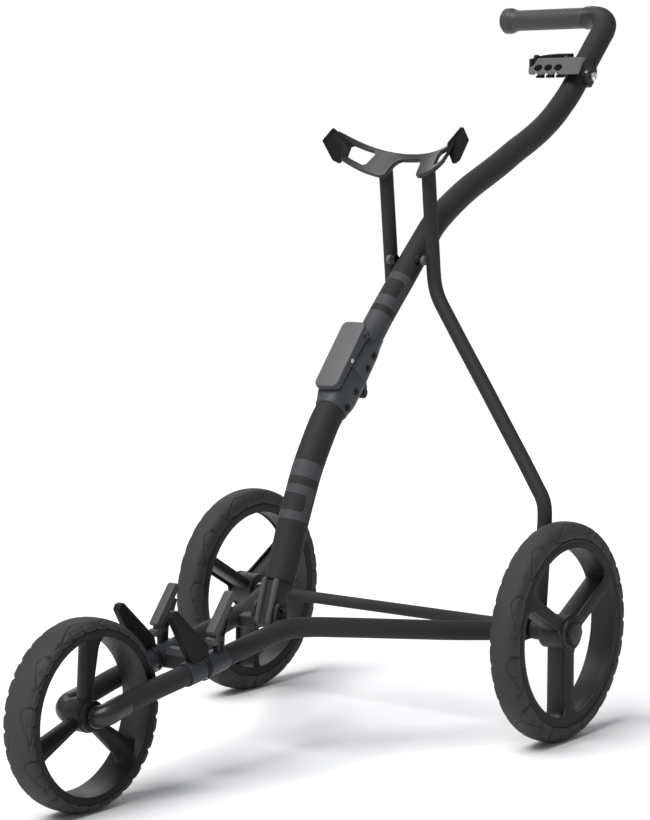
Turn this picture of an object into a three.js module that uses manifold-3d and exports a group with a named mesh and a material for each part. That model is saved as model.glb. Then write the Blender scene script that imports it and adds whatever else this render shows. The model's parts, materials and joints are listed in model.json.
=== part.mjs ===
// Three-wheel folding golf push cart. Millimetres, +Z up, front wheel towards -Y,
// the cart's left side towards +X. Positions below are written with Y = 0 at the rear
// axle and Z = 0 on the floor; the whole cart is then shifted along Y so that the
// origin lies on the floor under the middle of its bounding box.
import * as THREE from 'three';
import { mergeVertices } from 'three/addons/utils/BufferGeometryUtils.js';
import Module from 'manifold-3d';

const wasm = await Module();
wasm.setup();

// ---------------------------------------------------------------- dimensions
const SHIFT_Y = 85.4;

const REAR_R = 146.0; // rear tyre radius
const REAR_X = 263.7; // rear wheel centre plane, either side
const FRONT_R = 115.4; // front tyre radius
const FRONT_Y = -635.4; // front axle
const AXLE_Z = REAR_R;

const ARM_R = 13.0; // chassis side tube
const ARM_WALL = 1.8;
const COLLAR_R = 15.0;
const MAST_LOW_R = 20.4;
const MAST_UP_R = 17.8;
const MAST_WALL = 2.2;

// mast hinge frame: a point on the tube, the direction up the tube, the normal to the rear
const HINGE_O = [-151.0, 436.0];
const HINGE_ANG = 46.5 * Math.PI / 180;
const HINGE_S = 55.0; // split between the hinge halves, measured up the tube
const HINGE_OFF = 30.6; // hinge pin behind the tube's centreline
const PIVOT = [22.3, 628.6]; // strut pivot on the upper mast (Y, Z)
const FOOT = [-283.0, 190.0]; // mast foot pivot (Y, Z)
const STRUT_R = 9.8;
const GRIP_Y = 559.9; // centreline of the grip
const GRIP_Z = 982.8;

// ---------------------------------------------------------------- materials
const mat = (color, roughness, metalness) => new THREE.MeshStandardMaterial({ color, roughness, metalness });
const tubeMat = () => mat(0x1d1d1e, 0.62, 0.25);
const tyreMat = () => mat(0x26282a, 0.8, 0.0);
const rimMat = () => mat(0x1f2022, 0.5, 0.0);
const plasticMat = () => mat(0x222325, 0.55, 0.0);
const rubberMat = () => mat(0x2c2d2f, 0.75, 0.0);
const hingeMat = () => mat(0x2a2d31, 0.5, 0.1);
const coverMat = () => mat(0x4b4c4e, 0.5, 0.0);
const steelMat = () => mat(0x6d7073, 0.35, 0.9);

// ---------------------------------------------------------------- helpers
function prepared(geometry) {
  const g = geometry.index ? geometry.clone() : geometry.clone();
  g.deleteAttribute('normal');
  g.deleteAttribute('uv');
  return mergeVertices(g, 1e-3);
}

function volume(pos, idx) {
  let v = 0;
  for (let i = 0; i < idx.length; i += 3) {
    const a = idx[i] * 3, b = idx[i + 1] * 3, c = idx[i + 2] * 3;
    v += pos[a] * (pos[b + 1] * pos[c + 2] - pos[b + 2] * pos[c + 1])
      - pos[a + 1] * (pos[b] * pos[c + 2] - pos[b + 2] * pos[c])
      + pos[a + 2] * (pos[b] * pos[c + 1] - pos[b + 1] * pos[c]);
  }
  return v / 6;
}

// closed triangle mesh to solid, with its faces turned outwards
function solid(geometry) {
  const g = prepared(geometry);
  const pos = Float32Array.from(g.attributes.position.array);
  const src = g.index.array;
  const idx = [];
  for (let i = 0; i < src.length; i += 3) {
    if (src[i] !== src[i + 1] && src[i + 1] !== src[i + 2] && src[i] !== src[i + 2]) idx.push(src[i], src[i + 1], src[i + 2]);
  }
  if (volume(pos, idx) < 0) {
    for (let i = 0; i < idx.length; i += 3) [idx[i + 1], idx[i + 2]] = [idx[i + 2], idx[i + 1]];
  }
  return new wasm.Manifold(new wasm.Mesh({ numProp: 3, vertProperties: pos, triVerts: Uint32Array.from(idx) }));
}

function geometryOf(manifold) {
  const m = manifold.getMesh();
  const g = new THREE.BufferGeometry();
  g.setAttribute('position', new THREE.BufferAttribute(Float32Array.from(m.vertProperties), 3));
  g.setIndex(new THREE.BufferAttribute(Uint32Array.from(m.triVerts), 1));
  return g;
}

const circle = (r, n, cx = 0, cy = 0) => {
  const pts = [];
  for (let i = 0; i < n; i++) pts.push(new THREE.Vector2(cx + r * Math.cos(2 * Math.PI * i / n), cy + r * Math.sin(2 * Math.PI * i / n)));
  return pts;
};
const V = (x, y, z) => new THREE.Vector3(x, y, z);

// stations along a smooth curve, closer together where it bends
function stations(points, tolerance = 0.25) {
  const curve = new THREE.CatmullRomCurve3(points, false, 'centripetal');
  const fine = curve.getPoints(points.length * 12);
  const keep = new Set([0, fine.length - 1]);
  const split = (a, b) => {
    if (b - a < 2) return;
    const line = new THREE.Line3(fine[a], fine[b]), foot = V(0, 0, 0);
    let worst = 0, at = -1;
    for (let i = a + 1; i < b; i++) {
      line.closestPointToPoint(fine[i], true, foot);
      const d = foot.distanceTo(fine[i]);
      if (d > worst) { worst = d; at = i; }
    }
    if (worst > tolerance) { keep.add(at); split(a, at); split(at, b); }
  };
  split(0, fine.length - 1);
  return [...keep].sort((a, b) => a - b).map((i) => fine[i]);
}

// pipe or bar through stations; the section's second axis stays square to `across`
function pipe(at, section, inner = null, across = V(1, 0, 0)) {
  const n = section.length, pos = [], idx = [];
  const rings = (sec) => {
    const base = pos.length / 3;
    for (let i = 0; i < at.length; i++) {
      const t0 = at[Math.max(i, 1)].clone().sub(at[Math.max(i, 1) - 1]).normalize();
      const t1 = at[Math.min(i + 1, at.length - 1)].clone().sub(at[Math.min(i + 1, at.length - 1) - 1]).normalize();
      const t = t0.clone().add(t1).normalize();
      const stretch = 1 / Math.max(0.5, t.dot(t1));
      const bend = t1.clone().sub(t0);
      const a = across.clone().addScaledVector(t, -across.dot(t)).normalize();
      const b = t.clone().cross(a);
      if (bend.length() > 1e-6) bend.normalize();
      for (const p of sec) {
        const q = a.clone().multiplyScalar(p.x).addScaledVector(b, p.y);
        q.addScaledVector(bend, (stretch - 1) * q.dot(bend));
        pos.push(at[i].x + q.x, at[i].y + q.y, at[i].z + q.z);
      }
    }
    return base;
  };
  const skin = (base, flip) => {
    for (let i = 0; i + 1 < at.length; i++) {
      for (let j = 0; j < n; j++) {
        const p = base + i * n + j, q = base + i * n + (j + 1) % n;
        if (flip) idx.push(p, p + n, q, q, p + n, q + n); else idx.push(p, q, p + n, q, q + n, p + n);
      }
    }
  };
  const o = rings(section);
  skin(o, false);
  const last = (at.length - 1) * n;
  if (inner) {
    const k = rings(inner);
    skin(k, true);
    for (let j = 0; j < n; j++) {
      const j2 = (j + 1) % n;
      idx.push(o + j, k + j, o + j2, o + j2, k + j, k + j2);
      idx.push(o + last + j, o + last + j2, k + last + j, o + last + j2, k + last + j2, k + last + j);
    }
  } else {
    for (let j = 1; j + 1 < n; j++) {
      idx.push(o, o + j + 1, o + j);
      idx.push(o + last, o + last + j, o + last + j + 1);
    }
  }
  const g = new THREE.BufferGeometry();
  g.setAttribute('position', new THREE.Float32BufferAttribute(pos, 3));
  g.setIndex(idx);
  return g;
}

// the same pipe, filled and a little larger, to cut its place in a neighbour
const clearance = (at, r, n, gap, across) => solid(pipe(at, circle((r + gap) / Math.cos(Math.PI / n), n), null, across));

// prism of a polygon given in (Y, Z), standing across the cart from x0 to x1
function prismX(polygon, x0, x1, holes = []) {
  const shape = new THREE.Shape(polygon.map(([y, z]) => new THREE.Vector2(y, z)));
  for (const h of holes) shape.holes.push(new THREE.Path(h));
  const g = new THREE.ExtrudeGeometry(shape, { depth: x1 - x0, bevelEnabled: false });
  // (u, v, w) -> (w, u, v)
  g.applyMatrix4(new THREE.Matrix4().set(0, 0, 1, x0, 1, 0, 0, 0, 0, 1, 0, 0, 0, 0, 0, 1));
  return g;
}

// prism of a polygon given in (X, Y), standing up from z0 to z1
function prismZ(polygon, z0, z1) {
  const shape = new THREE.Shape(polygon.map(([x, y]) => new THREE.Vector2(x, y)));
  const g = new THREE.ExtrudeGeometry(shape, { depth: z1 - z0, bevelEnabled: false });
  g.translate(0, 0, z0);
  return g;
}

// ring or turned piece about the X axis; profile is [axial, radius]
function turnedX(profile, segments) {
  const g = new THREE.LatheGeometry(profile.map(([a, r]) => new THREE.Vector2(r, a)), segments);
  g.rotateZ(-Math.PI / 2); // +Y -> +X
  return g;
}
const closedProfile = (p) => [...p, p[0]];

// bar across the cart
function rodX(r, x0, x1, y, z, n = 16) {
  const g = new THREE.CylinderGeometry(r, r, x1 - x0, n);
  g.rotateZ(-Math.PI / 2);
  g.translate((x0 + x1) / 2, y, z);
  return g;
}

// bar between two points
function rod(r, a, b, n = 16) {
  const d = b.clone().sub(a);
  const g = new THREE.CylinderGeometry(r, r, d.length(), n);
  g.applyQuaternion(new THREE.Quaternion().setFromUnitVectors(V(0, 1, 0), d.clone().normalize()));
  g.translate((a.x + b.x) / 2, (a.y + b.y) / 2, (a.z + b.z) / 2);
  return g;
}

const box = (x0, x1, y0, y1, z0, z1) => {
  const g = new THREE.BoxGeometry(x1 - x0, y1 - y0, z1 - z0);
  g.translate((x0 + x1) / 2, (y0 + y1) / 2, (z0 + z1) / 2);
  return g;
};

const cart = new THREE.Group();
cart.position.y = SHIFT_Y;
function add(name, geometry, material, parent = cart) {
  const m = new THREE.Mesh(geometry, material);
  m.name = name;
  parent.add(m);
  return m;
}
const addSolid = (name, manifold, material, parent = cart) => add(name, geometryOf(manifold), material, parent);

// ---------------------------------------------------------------- wheels
function makeWheel(name, { R, half, rimOut, lip, barrel, hubR, hubIn, hubOut, spokeW, spokeRimW = spokeW, spokeD, spokeX, angles, bore, seg, boreRimHalf, shoulder = 7 }) {
  const wheel = new THREE.Group();
  // tyre: rounded cushion tyre with a bead on either side
  add(`${name}_tyre`, turnedX(closedProfile([
    [-(boreRimHalf - 0.5), rimOut + 0.3], [-(boreRimHalf - 0.4), lip + 0.4], [-(half - 0.4), lip + 0.4], [-half, lip + shoulder],
    [-half * 0.92, R - shoulder], [-half * 0.69, R - 0.34 * shoulder], [-half * 0.36, R - 0.5], [0, R], [half * 0.36, R - 0.5],
    [half * 0.69, R - 0.34 * shoulder], [half * 0.92, R - shoulder], [half, lip + shoulder], [half - 0.4, lip + 0.4], [boreRimHalf - 0.4, lip + 0.4],
    [boreRimHalf - 0.5, rimOut + 0.3],
  ]), seg), tyreMat(), wheel);
  // rim: barrel with lips, hub and three boxed spokes, one moulding
  let rim = solid(turnedX(closedProfile([
    [-half + 0.5, barrel], [-half + 0.5, lip], [-boreRimHalf, lip], [-boreRimHalf, rimOut], [boreRimHalf, rimOut],
    [boreRimHalf, lip], [half - 0.5, lip], [half - 0.5, barrel], [0, barrel + 1.5],
  ]), seg));
  rim = rim.add(solid(turnedX([[hubIn, 0], [hubIn, hubR - 1.5], [hubIn + 1.5, hubR], [hubOut - 1.5, hubR], [hubOut, hubR - 1.5], [hubOut, 0]], 20)));
  for (const a of angles) {
    const w = spokeW / 2, x0 = spokeX - spokeD / 2, x1 = spokeX + spokeD / 2;
    // cross-section (axial, tangential) with a pocket in the outer face
    const sec = [[x0, -w], [x1, -w], [x1, -w + 3.2], [x1 - 7, -w + 3.8], [x1 - 7, w - 3.8], [x1, w - 3.2], [x1, w], [x0, w]]
      .map(([x, y]) => new THREE.Vector2(x, y));
    const g = new THREE.ExtrudeGeometry(new THREE.Shape(sec), { depth: barrel + 3 - (hubR - 6), bevelEnabled: false });
    g.translate(0, 0, hubR - 6);
    const at = g.attributes.position;
    for (let i = 0; i < at.count; i++) if (at.getZ(i) > barrel / 2) at.setY(i, at.getY(i) * spokeRimW / spokeW);
    g.rotateX(a);
    rim = rim.add(solid(g));
  }
  rim = rim.subtract(solid(turnedX([[hubIn - 1, 0], [hubIn - 1, bore], [hubOut - 5, bore], [hubOut - 5, 0]], 16)));
  addSolid(`${name}_rim`, rim, rimMat(), wheel);
  return wheel;
}

const rearSpec = {
  R: REAR_R, half: 19.7, rimOut: 121.5, lip: 124.6, barrel: 108, hubR: 23, hubIn: -20.2, hubOut: 23.5, spokeW: 18, spokeD: 22,
  spokeX: 1.5, angles: [Math.PI, Math.PI / 3, -Math.PI / 3], bore: 11.5, seg: 32, boreRimHalf: 15,
};
for (const side of [1, -1]) {
  const name = side > 0 ? 'wheel_left' : 'wheel_right';
  const w = makeWheel(name, rearSpec);
  // plain bush pressed in the hub, and the six-sided cap that covers the axle end
  add(`${name}_bush`, turnedX(closedProfile([[-19.8, 6.3], [-19.8, 11.2], [17.6, 11.2], [17.6, 6.3]]), 14), steelMat(), w);
  add(`${name}_cap`, turnedX([[23.8, 0], [23.8, 18], [25.6, 18], [28.0, 14.5], [28.0, 0]], 6), plasticMat(), w);
  w.position.set(side * REAR_X, 0, REAR_R);
  if (side < 0) w.rotation.z = Math.PI;
  cart.add(w);
}

const frontWheel = makeWheel('front_wheel', {
  R: FRONT_R, half: 23, rimOut: 100.4, lip: 103.4, barrel: 93, hubR: 20.5, hubIn: -17.8, hubOut: 17.8, spokeW: 15, spokeRimW: 25, spokeD: 20,
  spokeX: 0, angles: [-8, 112, -128].map((a) => a * Math.PI / 180), bore: 9.5, seg: 32, boreRimHalf: 18.5, shoulder: 4.6,
});
{ // the front hub is bored right through
  const rim = frontWheel.children.find((m) => m.name === 'front_wheel_rim');
  rim.geometry = geometryOf(solid(rim.geometry).subtract(solid(rodX(9.5, 5, 25, 0, 0, 16))));
}
add('front_wheel_bush', turnedX(closedProfile([[-17.5, 5.4], [-17.5, 9.2], [17.5, 9.2], [17.5, 5.4]]), 14), steelMat(), frontWheel);
frontWheel.position.set(0, FRONT_Y, FRONT_R);
cart.add(frontWheel);

// ---------------------------------------------------------------- axles
add('rear_axle', turnedX([
  [-281.0, 0], [-281.0, 6.0], [-241.8, 6.0], [-241.8, 8.2], [241.8, 8.2], [241.8, 6.0], [281.0, 6.0], [281.0, 0],
], 14).translate(0, 0, AXLE_Z), steelMat());
add('front_axle', rodX(5.0, -28, 28, FRONT_Y, FRONT_R, 16), steelMat());

// ---------------------------------------------------------------- chassis
const axleBore = solid(rodX(8.6, -250, 250, 0, AXLE_Z, 14));
for (const side of [1, -1]) {
  const S = side > 0 ? 'left' : 'right';
  const mir = (pts) => pts.map(([x, y, z]) => V(side * x, y, z));

  // cast elbow that carries the front axle end
  const arc = [];
  arc.push([18.4, FRONT_Y, FRONT_R]);
  for (let i = 1; i <= 7; i++) {
    const t = (i / 7) * Math.PI / 2;
    arc.push([19.2 + 15.3 * Math.sin(t), FRONT_Y + 15.3 - 15.3 * Math.cos(t), FRONT_R + 6.5 * (i / 7) ** 1.5]);
  }
  arc.push([34.6, -610, 123.8]);
  arc.push([34.7, -600, 125.6]);
  let elbow = solid(pipe(stations(mir(arc), 0.2), circle(ARM_R + 0.6, 18), null, V(0, 0, 1)));
  elbow = elbow.subtract(solid(box(...(side > 0 ? [0, 18.2] : [-18.2, 0]), FRONT_Y - 30, FRONT_Y + 30, 80, 150)));
  elbow = elbow.subtract(solid(rodX(5.3, side > 0 ? 15 : -28.4, side > 0 ? 28.4 : -15, FRONT_Y, FRONT_R, 12)));
  addSolid(`fork_elbow_${S}`, elbow, tubeMat());

  // front arm: from the elbow back to the middle of the collar
  const forkAt = stations(mir([[34.75, -599.4, 125.8], [35.2, -575, 130.6], [37.4, -541, 136.9], [38.9, -503, 142.4], [40.1, -466.2, 148.2]]), 0.2);
  add(`fork_arm_${S}`, pipe(forkAt, circle(ARM_R, 16), circle(ARM_R - ARM_WALL, 16)), tubeMat());

  // rear arm: from the collar, bending outwards, to the rear axle block
  const sideAt = stations(mir([[40.1, -465.7, 148.2], [41.6, -425, 154.6], [43.4, -375, 162.2], [44.9, -335, 168.2], [49, -306, 171.8],
    [61, -276, 171.0], [84, -238, 167.3], [132, -161, 158.7], [170, -100, 152.0], [214.5, -28.5, AXLE_Z + 0.2]]), 0.25);
  add(`side_arm_${S}`, pipe(sideAt, circle(ARM_R, 16), circle(ARM_R - ARM_WALL, 16), V(0, 0, 1)), tubeMat());

  // collar over the joint of the two arms, and its locking ring
  const c0 = V(side * 39.1, -497, 143.4), c1 = V(side * 41.5, -427, 154.3);
  let collar = solid(rod(COLLAR_R, c0, c1, 16));
  const armCut = clearance(stations(mir([[34.75, -599.4, 125.8], [35.2, -575, 130.6], [37.4, -541, 136.9], [38.9, -503, 142.4], [40.1, -466, 148.2], [41.6, -425, 154.6],
    [43.4, -375, 162.2], [44.9, -335, 168.2]]), 0.1), ARM_R, 16, 0.35, V(1, 0, 0)).add(clearance(sideAt, ARM_R, 16, 0.3, V(0, 0, 1)));
  collar = collar.subtract(armCut);
  addSolid(`arm_collar_${S}`, collar, hingeMat());
  const dir = c1.clone().sub(c0).normalize();
  const mid = V(side * 40.15, -466, 148.2);
  let ring = solid(rod(COLLAR_R + 1.6, mid.clone().addScaledVector(dir, -2.6), mid.clone().addScaledVector(dir, 2.6), 16));
  ring = ring.subtract(solid(rod(COLLAR_R + 0.3, mid.clone().addScaledVector(dir, -9), mid.clone().addScaledVector(dir, 9), 16)));
  addSolid(`collar_ring_${S}`, ring, tubeMat());

  const collarCut = solid(rod(COLLAR_R + 1.95, c0.clone().addScaledVector(dir, -6), c1.clone().addScaledVector(dir, 6), 16));
  const keep = (g) => solid(g).subtract(collarCut).subtract(armCut);
  const X = (a, b) => (side > 0 ? [a, b] : [-b, -a]);

  // prong that carries the bottom of the bag
  addSolid(`bag_prong_${S}`, keep(prismX([[-529, 219.5], [-526, 226], [-519, 227.5], [-463.2, 177.1], [-460.6, 166], [-460.6, 150], [-489, 150], [-499, 168]], ...X(37.6, 48.4))), plasticMat());

  // bracket and the two rubber blocks that the side of the bag leans on
  const bracket = [[-446.05, 188.5], [-421.3, 219.5], [-415.5, 216], [-427.5, 190], [-432.2, 184], [-433.5, 166], [-431, 150], [-449, 150], [-449, 160], [-446.05, 170]];
  addSolid(`pad_bracket_${S}`, keep(prismX(bracket, ...X(41.6, 49.8))), plasticMat());
  // rubber pad: long upper block and short lower block in one moulding, a groove between them
  add(`bag_pad_${S}`, prismX([[-457.6, 191.8], [-422.3, 236.0], [-418.0, 237.3], [-413.6, 233.6], [-413.9, 229.8], [-446.6, 188.9], [-446.4, 174.5],
    [-457.6, 174.4], [-458.6, 182.6], [-451.6, 183.6], [-451.6, 187.0], [-456.4, 188.2]], ...X(39.2, 52.6)), rubberMat());

  // lug on the arm: a low block behind the tube and a thin ear that carries the mast's foot pin
  const ear = prismX([[FOOT[0] - 12, 162], [FOOT[0] + 13, 162], [FOOT[0] + 12, 184], [FOOT[0] + 9, 194], [FOOT[0] + 4, 198.6], [FOOT[0] - 4, 198.6], [FOOT[0] - 9, 194], [FOOT[0] - 12, 182]],
    ...X(15.2, 21.0), [circle(4.3, 14, FOOT[0], FOOT[1])]);
  const sideCut = clearance(sideAt, ARM_R, 16, 0.4, V(0, 0, 1));
  const low = box(...X(15.2, 50), FOOT[0] - 12, FOOT[0] + 13, 162, 178);
  const cutLug = solid(ear).add(solid(low)).subtract(sideCut);
  const parts = cutLug.decompose().sort((a, b) => b.volume() - a.volume());
  addSolid(`foot_lug_${S}`, parts[0], plasticMat());

  // block that joins the arm to the rear axle
  const block = prismZ([[200.8, -21.4], [222.4, -32.2], [222.6, -12], [222.6, 12.5], [200.8, 12.5]].map(([x, y]) => [side * x, y]), 131.5, 161);
  let blockSolid = solid(block).subtract(axleBore);
  const tip = V(side * 214.5, -28.5, AXLE_Z + 0.2), prev = V(side * 170, -100, 152.0);
  const along = tip.clone().sub(prev).normalize();
  blockSolid = blockSolid.subtract(solid(rod(ARM_R + 0.4, prev, tip.clone().addScaledVector(along, 0.6), 20)));
  const bp = blockSolid.decompose().sort((a, b) => b.volume() - a.volume());
  addSolid(`axle_block_${S}`, bp[0], plasticMat());
}

// brace between the two collars
{
  const cut = [1, -1].map((s) => solid(rod(COLLAR_R + 0.35, V(s * 38.8, -506, 142), V(s * 41.8, -418, 155.6), 20)));
  let brace = solid(prismX([[-458, 137], [-434, 143], [-434, 158], [-441, 163], [-452, 162], [-458, 155]], -40, 40));
  for (const c of cut) brace = brace.subtract(c);
  const p = brace.decompose().sort((a, b) => b.volume() - a.volume());
  addSolid('cross_brace', p[0], plasticMat());
}

// foot pin across the two lugs
add('foot_pin', rodX(4.0, -23.4, 23.4, FOOT[0], FOOT[1], 14), steelMat());

// ---------------------------------------------------------------- lower mast
const sc = Math.cos(HINGE_ANG), ss = Math.sin(HINGE_ANG);
// point at s up the tube and off behind the centreline, as [Y, Z]
const hp = (s, off) => [HINGE_O[0] + s * sc + off * ss, HINGE_O[1] + s * ss - off * sc];
const hpv = (s, off, x = 0) => V(x, ...hp(s, off));

const mastLowAt = stations([V(0, -262, 221), V(0, -247, 257), V(0, -232, 297), V(0, -217, 331), V(0, -203, 361), V(0, -185, 391),
  V(0, -164.5, 421), V(0, ...hp(0, 0)), V(0, ...hp(25, 0)), V(0, ...hp(53, 0))], 0.3);
add('mast_lower_tube', pipe(mastLowAt, circle(MAST_LOW_R, 18), circle(MAST_LOW_R - MAST_WALL, 18)), tubeMat());
const UP_ACROSS = V(0.6, 0.566, -0.566);
const mastUpAt = stations([hpv(56.5, 0), hpv(90, 0), hpv(125, 0), V(0, -43, 550.4), V(0, -20, 573.6), V(0, 5, 598), V(0, 33, 626), V(0, 61, 652.8), V(0, 87, 676.6), V(0, 128, 702.5),
  V(0, 175, 726.5), V(0, 213, 742.5), V(0, 252, 759), V(0, 291, 777), V(0, 332, 794.5), V(0, 367, 811.5), V(0, 397, 829.5), V(0, 422, 848), V(0, 444.1, 866), V(0, 475.8, 898),
  V(0, 508.5, 931), V(0, 528, 950.7), V(0, 537.9, 960.7), V(-4.2, 548.8, 971.7), V(-15.6, 556.9, 979.8), V(-31.1, GRIP_Y, GRIP_Z), V(-42.5, GRIP_Y, GRIP_Z)], 0.45);

// foot casting with two bumper ridges on its front face
{
  const front = (t) => [-279 + (-297 + 279) * t, 226 + (172 - 226) * t];
  let foot = solid(prismX([front(0), front(1), [-292, 165.5], [-276, 166.5], [-268, 178], [-264, 200], [-236.5, 222]], -14.5, 14.5, [circle(4.4, 14, FOOT[0], FOOT[1])]));
  for (const x of [-9.2, 9.2]) {
    const a = front(-0.06), b = front(1.0);
    foot = foot.add(solid(rod(4.2, V(x, a[0] - 0.5, a[1]), V(x, b[0] - 0.5, b[1]), 12)));
  }
  // spigot that plugs the end of the tube
  foot = foot.subtract(solid(rod(MAST_LOW_R + 0.4, V(0, -262.1, 220.8), V(0, -229, 300), 24)));
  foot = foot.add(solid(rod(MAST_LOW_R - MAST_WALL - 2.4, V(0, -268.5, 205.6), V(0, -255.5, 236.4), 12)));
  foot = foot.subtract(solid(rodX(4.4, -40, 40, FOOT[0], FOOT[1], 14)));
  addSolid('mast_foot', foot, plasticMat());
}

// hinge halves: rounded boxes about the tube
function housingSection(front) {
  const w = 22.6, r = 8;
  const s = new THREE.Shape();
  // (x, off) with the rear towards +off
  s.moveTo(-w + r, front); s.lineTo(w - r, front);
  s.absarc(w - r, front + r, r, -Math.PI / 2, 0, false);
  s.lineTo(w, 20 - 12); s.absarc(w - 12, 20 - 12, 12, 0, Math.PI / 2, false);
  s.lineTo(-w + 12, 20); s.absarc(-w + 12, 20 - 12, 12, Math.PI / 2, Math.PI, false);
  s.lineTo(-w, front + r); s.absarc(-w + r, front + r, r, Math.PI, 3 * Math.PI / 2, false);
  return s;
}
function alongHinge(shape, s0, s1, curveSegments = 3) {
  const g = new THREE.ExtrudeGeometry(shape, { depth: s1 - s0, bevelEnabled: false, curveSegments });
  g.translate(0, 0, s0);
  // (x, off, s) -> cart
  g.applyMatrix4(new THREE.Matrix4().set(
    1, 0, 0, 0,
    0, ss, sc, HINGE_O[0],
    0, -sc, ss, HINGE_O[1],
    0, 0, 0, 1));
  return g;
}
const HP = hp(HINGE_S, HINGE_OFF);
const hingeLug = (x0, x1, dirS) => {
  const g = prismX([hp(HINGE_S + dirS * 15, 17), hp(HINGE_S + dirS * 15, 22), hp(HINGE_S + dirS * 4, HINGE_OFF + 6.2), hp(HINGE_S + dirS * 0.3, HINGE_OFF + 6.9), hp(HINGE_S + dirS * 0.3, 17)], x0, x1);
  return solid(g).add(solid(rodX(7.4, x0, x1, HP[0], HP[1], 18)));
};
const pinBore = solid(rodX(3.35, -30, 30, HP[0], HP[1], 14));
const bolts = { lower: [7.8, 35.3], upper: [74.8, 96.5] };
const boltBores = [...bolts.lower, ...bolts.upper].map((s) => solid(rodX(2.6, -30, 30, ...hp(s, 3), 12)));
{
  let lower = solid(alongHinge(housingSection(-23.2), -2, 54.7));
  lower = lower.subtract(solid(alongHinge(housingSection(-23.2), -3, -1)));
  lower = lower.add(hingeLug(-5.4, 5.4, -1));
  lower = lower.subtract(solid(rod(MAST_LOW_R + 0.5, hpv(20, 0), hpv(80, 0), 18)));
  lower = lower.subtract(clearance(mastLowAt, MAST_LOW_R, 18, 0.4, V(1, 0, 0)));
  // room for the turning knuckles of the other half
  for (const x of [8.3, -8.3]) lower = lower.subtract(solid(rodX(8.2, x - 2.9, x + 2.9, HP[0], HP[1], 18)));
  lower = lower.subtract(pinBore);
  for (const b of boltBores) lower = lower.subtract(b);
  addSolid('hinge_lower', lower.decompose().sort((a, b) => b.volume() - a.volume())[0], hingeMat());

  let upper = solid(alongHinge(housingSection(-23.2), 55.3, 116));
  upper = upper.add(solid(rod(20.2, hpv(100, 0), hpv(136, 0), 20)));
  // rounded lug for the latch cover's pin
  upper = upper.add(solid(rodX(4.6, -18, 18, ...hp(108.5, -28), 20)));
  upper = upper.add(solid(alongHinge(new THREE.Shape([[-18, -28], [18, -28], [18, -15], [-18, -15]].map(([a, b]) => new THREE.Vector2(a, b))), 104.2, 112.8)));
  for (const s of [1, -1]) upper = upper.add(hingeLug(s > 0 ? 5.8 : -11, s > 0 ? 11 : -5.8, 1));
  upper = upper.subtract(solid(rod(MAST_UP_R + 0.5, hpv(40, 0), hpv(70, 0), 16))).subtract(clearance(mastUpAt, MAST_UP_R, 14, 0.4, UP_ACROSS));
  upper = upper.subtract(pinBore);
  for (const b of boltBores) upper = upper.subtract(b);
  upper = upper.subtract(solid(rodX(2.3, -30, 30, ...hp(108.5, -28), 12)));
  addSolid('hinge_upper', upper.decompose().sort((a, b) => b.volume() - a.volume())[0], hingeMat());
}
add('hinge_pin', rodX(3.0, -12.5, 12.5, HP[0], HP[1], 14), steelMat());

// through bolts of the hinge halves
function bolt(name, s) {
  const g = turnedX([[-24.9, 0], [-24.9, 2.6], [-24.3, 3.6], [-22.95, 3.6], [-22.95, 2.2], [22.95, 2.2], [22.95, 3.6], [24.3, 3.6], [24.9, 2.6], [24.9, 0]], 8);
  g.translate(0, ...hp(s, 3));
  add(name, g, steelMat());
}
bolt('hinge_bolt_1', bolts.lower[0]);
bolt('hinge_bolt_2', bolts.lower[1]);
bolt('hinge_bolt_3', bolts.upper[0]);
bolt('hinge_bolt_4', bolts.upper[1]);
{ // the bolts also pass through the tubes
  const low = cart.children.find((m) => m.name === 'mast_lower_tube');
  let t = solid(low.geometry);
  for (const s of bolts.lower) t = t.subtract(solid(rodX(2.6, -30, 30, ...hp(s, 3), 12)));
  low.geometry = geometryOf(t);
}

// latch cover: wedge-shaped lid over the joint, hinged at its top end
{
  const sideView = [[13.5, -31.8], [15.5, -34.0], [115.5, -40.6], [119.6, -39.4], [120.2, -36.5], [120.2, -33.2], [102.5, -33.2], [102.5, -23.8], [15.5, -23.8], [13.5, -26]];
  const shape = new THREE.Shape(sideView.map(([s, off]) => new THREE.Vector2(...hp(s, off))));
  const g = new THREE.ExtrudeGeometry(shape, { depth: 34, bevelEnabled: true, bevelThickness: 2.4, bevelSize: 0.0, bevelSegments: 1, steps: 1 });
  g.applyMatrix4(new THREE.Matrix4().set(0, 0, 1, -17, 1, 0, 0, 0, 0, 1, 0, 0, 0, 0, 0, 1));
  let cover = solid(g);
  // cheeks that reach back to the cover's hinge pin
  for (const s of [1, -1]) {
    const span = s > 0 ? [18.35, 21.6] : [-21.6, -18.35];
    cover = cover.add(solid(prismX([hp(101, -34), hp(114, -34), hp(112.5, -29), hp(112.1, -28), hp(104.9, -28), hp(104.2, -29)], ...span)));
    cover = cover.add(solid(rodX(4.3, ...span, ...hp(108.5, -28), 20)));
  }
  for (const s of [1, -1]) cover = cover.add(solid(prismX([hp(101, -40), hp(114, -40), hp(114, -33.5), hp(101, -33.5)], s > 0 ? 16 : -21.6, s > 0 ? 21.6 : -16)));
  cover = cover.subtract(solid(alongHinge(new THREE.Shape([[-18.35, -33.0], [18.35, -33.0], [18.35, -10], [-18.35, -10]].map(([a, b]) => new THREE.Vector2(a, b))), 103.2, 120)));
  cover = cover.subtract(solid(rodX(2.3, -30, 30, ...hp(108.5, -28), 12)));
  cover = cover.subtract(solid(rodX(2.05, -30, 30, ...hp(62, -29.5), 12)));
  addSolid('latch_cover', cover.decompose().sort((a, b) => b.volume() - a.volume())[0], coverMat());
  add('latch_hinge_pin', rodX(2.0, -21.4, 21.4, ...hp(108.5, -28), 12), steelMat());
  add('latch_catch_pin', rodX(1.75, -20.2, 20.2, ...hp(62, -29.5), 12), steelMat());
}

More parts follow.
